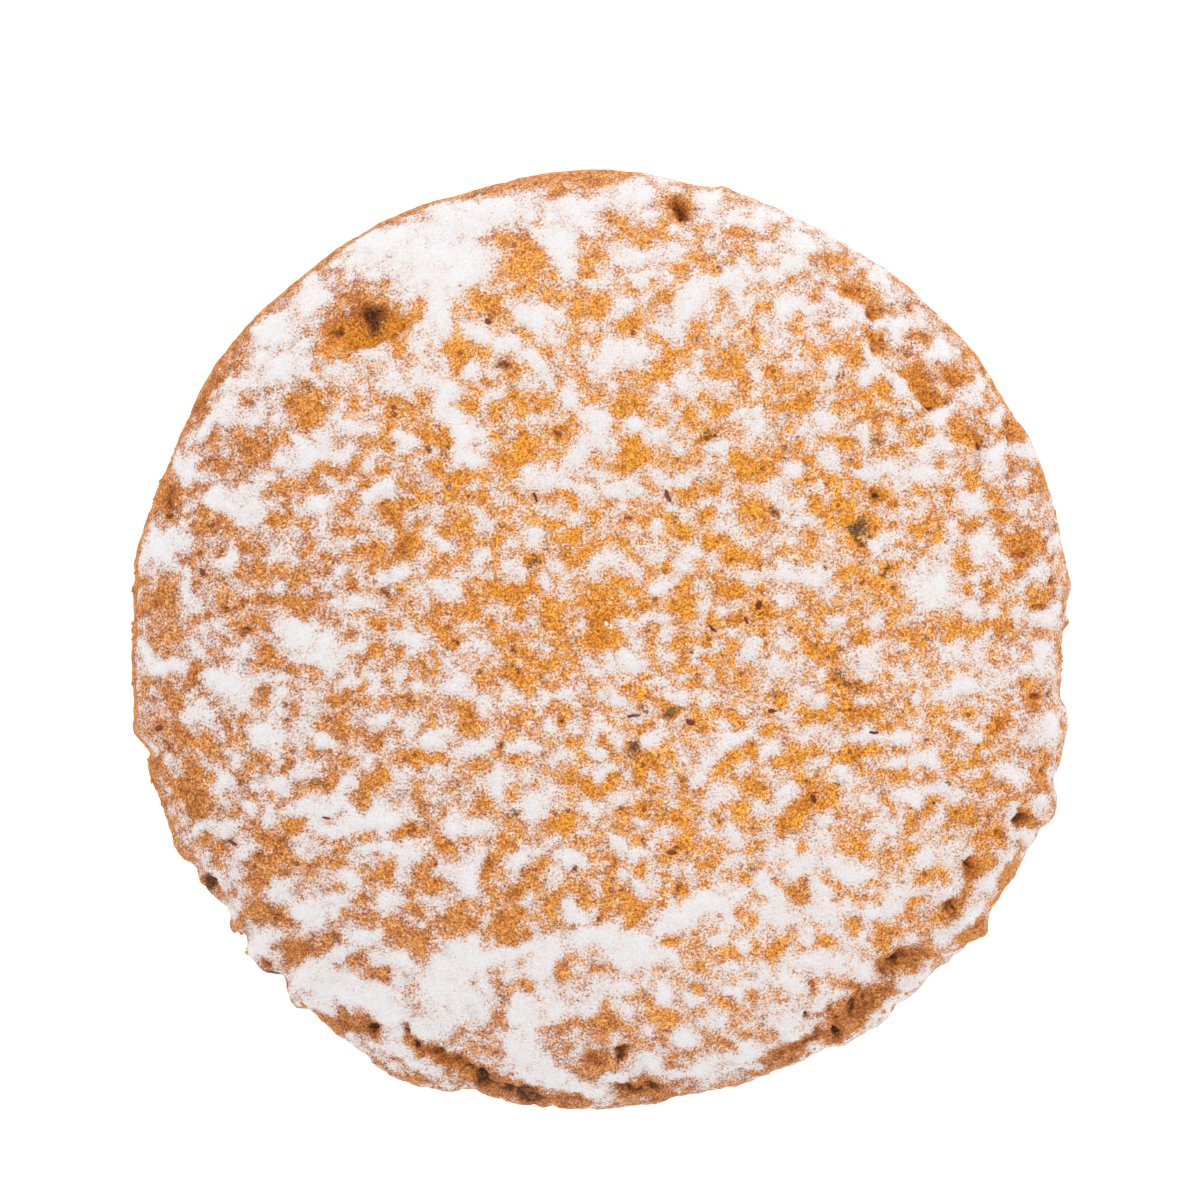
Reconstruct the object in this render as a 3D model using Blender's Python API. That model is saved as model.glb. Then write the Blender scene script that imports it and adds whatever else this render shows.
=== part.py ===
"""Round lebkuchen: a domed spice biscuit with a thin sugar glaze, a crumbled rim and a flat base.

The body is one profile spun about +Z: a flat base, a tucked-in foot, a rounded rim and a low dome.
Plain functions of position then shape it. The outline swells and dips with the angle, the top has
soft lumps, pits sink into it along its normals, and furrows run where the rim has cracked open.
Metres, +Z up. The origin is at the middle of the base.
"""

import math

import bmesh
import bpy

# Driving sizes.
MM = 0.001
RADIUS = 45.9 * MM
HEIGHT = 16.0 * MM
RIM_HEIGHT = 4.6 * MM
BASE_RADIUS = 43.0 * MM
DOME_POWER = 2.7
FOOT_POWER = 2.0

# Resolution of the turned body.
STEPS_ROUND = 108
RINGS_DOME = 25
RINGS_FOOT = 6
WELD = 0.00001

# How quickly the outline's swellings fade towards the middle.
OUTLINE_REACH = 4.0

# Swellings and dips of the outline: angle and half width in degrees, rise in mm.
OUTLINE = (
    (353.0, 6.0, 0.5),
    (339.5, 4.0, 1.4),
    (329.5, 6.0, 0.8),
    (322.5, 2.6, 1.5),
    (307.0, 5.0, 0.5),
    (290.0, 8.0, -0.4),
    (260.0, 5.0, 0.5),
    (246.0, 6.5, 1.5),
    (231.0, 4.5, 0.5),
    (218.0, 7.0, -0.5),
    (191.0, 3.0, 0.6),
    (156.0, 6.0, -0.6),
    (78.0, 5.0, -0.5),
    (24.0, 4.0, 0.3),
    (1.0, 3.0, -0.7),
)

# Soft lumps of the top: waves per metre along X and Y, phase in radians, rise in mm.
LUMPS = (
    (38.0, 21.0, 0.4, 0.22),
    (-24.0, 47.0, 2.1, 0.20),
    (61.0, -33.0, 4.0, 0.14),
    (15.0, 74.0, 5.2, 0.12),
    (83.0, 52.0, 1.3, 0.08),
)

# Pits: centre X and Y, half length, half width and depth in mm, and turn in degrees.
PITS = (
    (-22.6, 30.6, 4.6, 2.2, 1.6, 12.0),
    (7.9, 42.3, 1.9, 1.3, 2.0, -45.0),
    (31.8, 24.6, 2.6, 1.6, 0.9, -50.0),
    (25.4, 34.4, 2.0, 1.4, 0.8, -40.0),
    (27.0, 29.2, 1.9, 1.3, 0.7, -35.0),
    (-42.0, 13.0, 1.9, 1.3, 1.0, 70.0),
    (29.6, -31.6, 2.6, 1.5, 1.9, 25.0),
    (24.6, -36.6, 3.4, 1.7, 1.5, 30.0),
    (3.6, -44.0, 2.6, 1.4, 1.6, 5.0),
    (2.3, -41.1, 1.5, 1.2, 1.0, 0.0),
    (-22.3, -38.5, 1.8, 1.2, 1.3, -35.0),
    (42.6, -6.0, 1.4, 1.2, 0.7, 0.0),
    (36.4, -22.9, 1.3, 1.8, 0.8, -20.0),
)

# Furrows in the rim: first and last angle in degrees, radius at each end, half width and depth in mm.
FURROWS = (
    (243.0, 266.0, 42.8, 45.4, 1.1, 1.7),
    (291.0, 310.0, 45.0, 44.2, 1.0, 1.6),
)
FURROW_FADE = 3.0

CRUST_COLOUR = (0.66, 0.33, 0.10, 1.0)
CRUST_ROUGHNESS = 0.8
CRUST_METALLIC = 0.0


def bell(distance, width):
    """1 at distance 0, falling smoothly to 0 a little past twice the width."""
    return math.exp(-((distance / width) ** 2))


def angle_between(a, b):
    """The shorter way round from angle b to angle a, in degrees, from -180 to 180."""
    return (a - b + 180.0) % 360.0 - 180.0


def profile():
    """Half section from the middle of the base, round the rim, to the top of the dome.

    The foot is a quarter of a superellipse that widens from the base to the rim, and the dome is
    another that closes from the rim to the axis. Both are stepped by angle, so the rings bunch at
    the rim, where the surface turns most.
    """
    points = [(0.0, 0.0)]
    for step in range(RINGS_FOOT + 1):
        turn = 0.5 * math.pi * step / RINGS_FOOT
        reach = math.sin(turn) ** (2.0 / FOOT_POWER)
        drop = math.cos(turn) ** (2.0 / FOOT_POWER)
        radius = BASE_RADIUS + (RADIUS - BASE_RADIUS) * reach
        points.append((radius, RIM_HEIGHT * (1.0 - drop)))
    for step in range(1, RINGS_DOME + 1):
        turn = 0.5 * math.pi * step / RINGS_DOME
        radius = RADIUS * max(0.0, math.cos(turn)) ** (2.0 / DOME_POWER)
        rise = math.sin(turn)
        points.append((radius, RIM_HEIGHT + (HEIGHT - RIM_HEIGHT) * rise))
    points[-1] = (0.0, HEIGHT)
    return points


def outline_rise(angle):
    """How far the outline stands out from the plain circle at an angle, in metres."""
    return sum(rise * MM * bell(angle_between(angle, at), width) for at, width, rise in OUTLINE)


def lump_rise(x, y):
    """Height of the soft lumps at a place on the top, in metres."""
    total = 0.0
    for along_x, along_y, phase, rise in LUMPS:
        total += rise * MM * math.sin(2.0 * math.pi * (along_x * x + along_y * y) + phase)
    return total


def pit_depth(x, y):
    """How deep the pits are at a place, in metres: each is a turned, oval bell."""
    total = 0.0
    for at_x, at_y, half_length, half_width, depth, turn in PITS:
        cosine = math.cos(math.radians(turn))
        sine = math.sin(math.radians(turn))
        from_x = x - at_x * MM
        from_y = y - at_y * MM
        along = (from_x * cosine + from_y * sine) / (half_length * MM)
        across = (from_y * cosine - from_x * sine) / (half_width * MM)
        total += depth * MM * bell(math.hypot(along, across), 1.0)
    return total


def furrow_depth(x, y):
    """How deep the furrows are at a place, in metres: a bell across an arc, faded at its ends."""
    angle = math.degrees(math.atan2(y, x)) % 360.0
    radius = math.hypot(x, y)
    total = 0.0
    for first, last, radius_first, radius_last, half_width, depth in FURROWS:
        share = min(1.0, max(0.0, (angle - first) / (last - first)))
        middle = (radius_first + (radius_last - radius_first) * share) * MM
        past_end = max(first - angle, angle - last, 0.0)
        across = bell(radius - middle, half_width * MM)
        total += depth * MM * across * bell(past_end, FURROW_FADE)
    return total


def spin_body(mesh):
    """Turns the profile once about +Z and welds the seam and both poles."""
    points = [mesh.verts.new((radius, 0.0, height)) for radius, height in profile()]
    edges = [mesh.edges.new(pair) for pair in zip(points, points[1:])]
    bmesh.ops.spin(
        mesh,
        geom=points + edges,
        cent=(0.0, 0.0, 0.0),
        axis=(0.0, 0.0, 1.0),
        angle=2.0 * math.pi,
        steps=STEPS_ROUND,
        use_merge=True,
    )
    bmesh.ops.remove_doubles(mesh, verts=mesh.verts, dist=WELD)
    bmesh.ops.recalc_face_normals(mesh, faces=mesh.faces)


def shape_body(mesh):
    """Moves the turned body's points: outline outwards, lumps, pits and furrows along the normals."""
    mesh.normal_update()
    moves = {}
    for vert in mesh.verts:
        x, y, z = vert.co
        radius = math.hypot(x, y)
        if z < WELD and radius < WELD:
            continue
        swell = outline_rise(math.degrees(math.atan2(y, x))) * (radius / RADIUS) ** OUTLINE_REACH
        outwards = vert.co.xy.to_3d().normalized() * swell
        share = min(1.0, z / RIM_HEIGHT)
        relief = lump_rise(x, y) - pit_depth(x, y) - furrow_depth(x, y)
        moves[vert] = outwards + vert.normal * relief * share * share
    for vert, move in moves.items():
        base = vert.co.z < WELD
        vert.co += move
        if base:
            vert.co.z = 0.0


def centre_on_base(mesh):
    """Puts the middle of the bounding box's bottom at the origin."""
    corners = [vert.co.copy() for vert in mesh.verts]
    middle_x = 0.5 * (min(c.x for c in corners) + max(c.x for c in corners))
    middle_y = 0.5 * (min(c.y for c in corners) + max(c.y for c in corners))
    for vert in mesh.verts:
        vert.co.x -= middle_x
        vert.co.y -= middle_y


def crust_material():
    """Dry, golden brown crust."""
    material = bpy.data.materials.new("crust")
    material.use_nodes = True
    shader = material.node_tree.nodes["Principled BSDF"]
    shader.inputs["Base Color"].default_value = CRUST_COLOUR
    shader.inputs["Roughness"].default_value = CRUST_ROUGHNESS
    shader.inputs["Metallic"].default_value = CRUST_METALLIC
    return material


def make_biscuit():
    """The whole biscuit: one closed solid."""
    mesh = bmesh.new()
    spin_body(mesh)
    shape_body(mesh)
    centre_on_base(mesh)
    bmesh.ops.triangulate(mesh, faces=mesh.faces)
    data = bpy.data.meshes.new("biscuit")
    mesh.to_mesh(data)
    mesh.free()
    data.materials.append(crust_material())
    data.shade_smooth()
    data.set_sharp_from_angle(angle=math.radians(50.0))
    biscuit = bpy.data.objects.new("biscuit", data)
    bpy.context.scene.collection.objects.link(biscuit)


for old in list(bpy.data.objects):
    bpy.data.objects.remove(old)
make_biscuit()
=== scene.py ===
"""Looks of a round lebkuchen: baked crust, patchy sugar glaze, loose crumbs, nut skin and sugar flakes.

Everything is worked out in millimetres on the biscuit's own frame (+Z up, middle of the base at the
origin) and written to the meshes in metres. One square grid is folded onto the dome and its rim, and
plain fields of position raise, sink, frost and colour it. Every other piece stands on that surface.
"""

import functools
import math
from types import SimpleNamespace

import bpy
import numpy as np
from bpy.props import FloatProperty, FloatVectorProperty, IntProperty, PointerProperty
from bpy.types import Operator, Panel, PropertyGroup
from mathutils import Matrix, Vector


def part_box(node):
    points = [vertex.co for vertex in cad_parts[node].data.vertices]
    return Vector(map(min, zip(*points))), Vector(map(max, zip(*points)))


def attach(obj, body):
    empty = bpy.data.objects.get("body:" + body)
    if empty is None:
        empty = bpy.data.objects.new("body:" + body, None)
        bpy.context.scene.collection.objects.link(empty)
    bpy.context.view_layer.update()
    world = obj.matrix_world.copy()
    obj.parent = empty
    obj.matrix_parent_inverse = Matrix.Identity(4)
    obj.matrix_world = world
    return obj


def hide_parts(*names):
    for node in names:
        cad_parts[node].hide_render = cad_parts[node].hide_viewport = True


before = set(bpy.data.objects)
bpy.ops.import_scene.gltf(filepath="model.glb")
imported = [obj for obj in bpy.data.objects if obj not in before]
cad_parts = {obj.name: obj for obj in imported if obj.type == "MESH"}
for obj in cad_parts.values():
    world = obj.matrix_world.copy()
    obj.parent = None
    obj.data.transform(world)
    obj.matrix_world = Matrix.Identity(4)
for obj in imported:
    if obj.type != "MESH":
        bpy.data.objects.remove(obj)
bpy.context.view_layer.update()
CAD_LOW, CAD_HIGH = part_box("biscuit")

bl_info = {
    "name": "Lebkuchen looks",
    "version": (1, 0, 0),
    "blender": (4, 5, 0),
    "location": "View3D > Sidebar > Lebkuchen",
    "description": "Builds the crust, glaze and crumbs of a round lebkuchen on its plain solid",
    "category": "Object",
}

MM = 0.001
BODY = "root"
NODE = "biscuit"

# ---------------------------------------------------------------------------------------------
# Features of this biscuit, in millimetres and degrees. X runs to the right and Y to the far side.
# ---------------------------------------------------------------------------------------------

# Swellings and dips of the outline: angle, half width, rise.
OUTLINE = (
    (348.5, 4, 0.5), (339.2, 3.6, 1.5), (342, 1.2, -0.5), (329.5, 6, 0.9), (322, 2, 1.7),
    (318.8, 1.4, 0.7), (316.4, 1.2, 0.5), (302.6, 2.6, 0.7), (306.4, 4, 0.4), (308.6, 1.2, -0.3),
    (312.4, 2.4, 0.5), (297, 6, 0.5), (285, 4, 0.1), (272, 7, 0.8), (259, 5, 0.45), (252, 1.8, 0.6),
    (249.5, 3, 0.7), (244.8, 5.4, 1.5), (240, 1.4, 0.3), (235.6, 1.6, -0.2), (230, 1.8, 0.6),
    (227.4, 1.3, -0.8), (224.2, 1.4, -0.2), (220.3, 1.2, -0.6), (218.4, 1, 0.3), (215.8, 2.4, -1.2),
    (212.8, 1, -0.2), (209.8, 1.2, -0.4), (237, 7, 0.5), (206, 7, 0.25), (200.2, 1.6, -0.2),
    (180, 12, -0.15), (191.4, 1.8, 0.6), (194.2, 1.4, -0.5), (158, 8, -0.6), (149, 2, 0.2),
    (141, 5, 0.15), (130, 14, 0.1), (78, 5, -0.6), (74.6, 1, 0.3), (64, 6, -0.35), (57, 9, -0.55),
    (38, 6, 0.3), (24, 4, 0.3), (13, 4, -0.2), (6.2, 1.4, 0.4), (1, 3, -0.4), (356.6, 4, -0.8),
    (1.8, 0.6, 0.4), (352.6, 1.4, -0.5), (336.2, 0.8, -0.3), (167, 6, 0.2), (190, 3, 0.25),
)

# Pits: X, Y, half length, half width, depth, turn.
PITS = (
    (-22.6, 30.8, 4.6, 2, 1.7, 10), (-22.2, 32.4, 1.1, 0.8, 1.2, 0), (-26, 30.4, 0.9, 0.6, 0.6, 0),
    (7.8, 42.8, 1.3, 0.8, 1.4, -42), (-42.1, 13.4, 0.9, 1.6, 0.4, -15), (-42, 12.2, 0.4, 0.4, 0.4, 0),
    (31.2, 25.8, 1.1, 1.2, 0.9, 0), (32.3, 23.8, 1, 1.2, 0.9, 0), (34.7, 26, 0.8, 1.1, 0.6, 0),
    (25, 34.7, 1.3, 1, 0.8, -50), (26.7, 32.2, 0.9, 0.8, 0.7, 0), (27, 29.5, 1.1, 0.9, 0.8, -40),
    (30.1, 32.6, 0.7, 0.8, 0.6, -40), (32.3, 30.2, 0.7, 0.6, 0.5, 0), (30.1, 28.4, 0.6, 0.5, 0.5, 0),
    (40.2, 20, 0.5, 1.1, 0.7, -10), (40.4, 16.8, 0.6, 0.5, 0.5, 0), (37, 19.4, 0.5, 0.9, 0.5, 20),
    (39.1, 22.5, 0.4, 0.5, 0.4, -40), (41.2, 8.2, 0.8, 0.8, 0.7, 0), (44, 5.4, 0.5, 0.5, 0.7, 0),
    (42.8, 3.6, 0.6, 0.5, 0.5, 0), (42.7, -5.8, 0.8, 0.7, 0.8, 20), (38.9, -8, 0.5, 0.7, 0.5, 0),
    (43.1, -12.8, 0.5, 0.5, 0.6, 0), (41.3, -17.3, 0.8, 0.6, 0.8, 0), (39.2, -18.8, 0.5, 0.9, 0.7, 10),
    (36.3, -22.8, 0.8, 1, 1, -20), (34.4, -26.2, 0.5, 1, 0.6, 0), (29.4, -31.6, 1.1, 0.9, 1.1, 30),
    (31, -30.9, 1.2, 0.6, 0.5, 20), (25.2, -36.2, 2.4, 0.8, 0.4, 33), (23.2, -38.4, 0.6, 0.5, 0.9, 0),
    (20.5, -37.2, 0.4, 0.4, 0.6, 0), (20.8, -34.2, 0.4, 0.5, 0.4, 0), (25, -33.6, 0.5, 0.3, 0.3, 0),
    (2.6, -44.4, 0.8, 0.5, 0.8, 0), (4.9, -44.5, 1.2, 0.6, 0.4, 10), (2.3, -41.1, 0.8, 0.7, 0.8, 0),
    (-0.5, -41.7, 0.9, 0.6, 0.6, -30), (-22.2, -38.4, 0.9, 0.6, 0.8, -30), (-25, -37.4, 0.8, 0.4, 0.3, 0),
    (-23.2, -36.5, 0.5, 0.4, 0.3, 0), (-18.8, -38.7, 0.7, 0.8, 0.5, 30), (-11.5, -43.2, 0.8, 0.6, 0.7, 0),
    (-36, -19.9, 0.6, 0.4, 0.5, 0), (-33.3, -21.4, 0.5, 0.5, 0.4, 0), (-25.6, -29, 0.6, 0.4, 0.4, 0),
    (-38, -24, 0.5, 0.9, 0.7, 35), (-7.9, -3.4, 0.5, 0.5, 0.5, 0), (-3.7, -8.2, 0.5, 0.5, 0.6, 0),
    (-19, 9.2, 1, 0.5, 0.4, 10), (0.6, 1.6, 0.9, 0.8, 0.4, 0), (11.4, 20.1, 0.7, 0.6, 0.4, 0),
    (15.6, 7.1, 0.4, 0.3, 0.4, 0), (26.1, -8, 0.4, 0.3, 0.4, 0), (25.5, 11.2, 0.6, 0.5, 0.4, 0),
    (0.95, -5.8, 0.2, 0.2, 0.5, 0),
)

# Cracks in the rim: half width, depth, then the path as X, Y pairs.
CRACKS = (
    (0.40, 0.42, ((-19.2, -38.4), (-17.8, -40.1), (-15.6, -41.2), (-13.2, -42.2), (-11.2, -43.4))),
    (0.35, 0.36, ((-10.6, -43.7), (-8.0, -44.5), (-5.4, -45.2))),
    (0.30, 0.3, ((16.4, -41.8), (18.6, -40.6), (20.2, -39.9), (22.3, -38.8))),
    (0.35, 0.36, ((23.2, -38.3), (24.9, -37.4), (26.4, -36.5), (27.6, -35.2))),
    (0.30, 0.24, ((27.8, -31.9), (29.2, -30.9), (30.6, -30.3), (32.0, -30.4))),
    (0.22, 0.24, ((-45.0, 2.0), (-44.3, 0.2), (-43.6, -1.0), (-42.8, -2.2))),
    (0.25, 0.3, ((-33.6, -31.6), (-31.8, -32.4), (-30.8, -33.4), (-30.3, -34.6))),
    (0.25, 0.3, ((-40.2, -22.0), (-38.9, -23.4), (-38.0, -24.6))),
    (0.30, 0.24, ((1.8, -44.2), (3.5, -43.8), (5.6, -44.6))),
)

# Torn places, where rough crumb shows instead of skin: X, Y, half length, half width, turn, strength.
TORN = (
    (-18.8, -39, 1.5, 0.7, -55, 0.9), (-15.4, -41.2, 2.4, 0.8, -32, 1), (-11.6, -43.2, 2, 0.9, -28, 1),
    (-7.4, -44.7, 2.6, 0.6, -14, 0.9), (-2.6, -45.5, 2.2, 0.4, -6, 0.6),
    (-22.2, -38.4, 1.2, 0.8, -30, 0.9), (-24.4, -37, 1.6, 0.5, -40, 0.6), (29.6, -31.4, 2, 1, 20, 0.9),
    (25.4, -36, 3.2, 1.2, 33, 1), (19.4, -40.2, 3, 0.5, 28, 0.8), (4.1, -44.3, 2.1, 0.9, 0, 0.9),
    (2.3, -41.1, 0.9, 0.8, 0, 0.7), (-0.2, -41.8, 1.1, 0.6, -20, 0.5), (7.8, 42.8, 1.1, 0.6, -42, 0.6),
    (-42.4, 13.8, 0.8, 1.6, -15, 0.4), (31.2, 25.4, 1, 1, 0, 0.3), (32.2, 23.6, 0.9, 1.2, 0, 0.3),
    (36.4, -22.6, 0.6, 0.8, 0, 0.5), (34.4, -26.1, 0.4, 0.8, 0, 0.5), (41.3, -17.3, 0.7, 0.6, 0, 0.5),
    (41.8, 9.6, 1, 1.8, -20, 0.3), (-37.9, -23.9, 0.5, 0.9, 35, 0.6),
)

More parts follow.
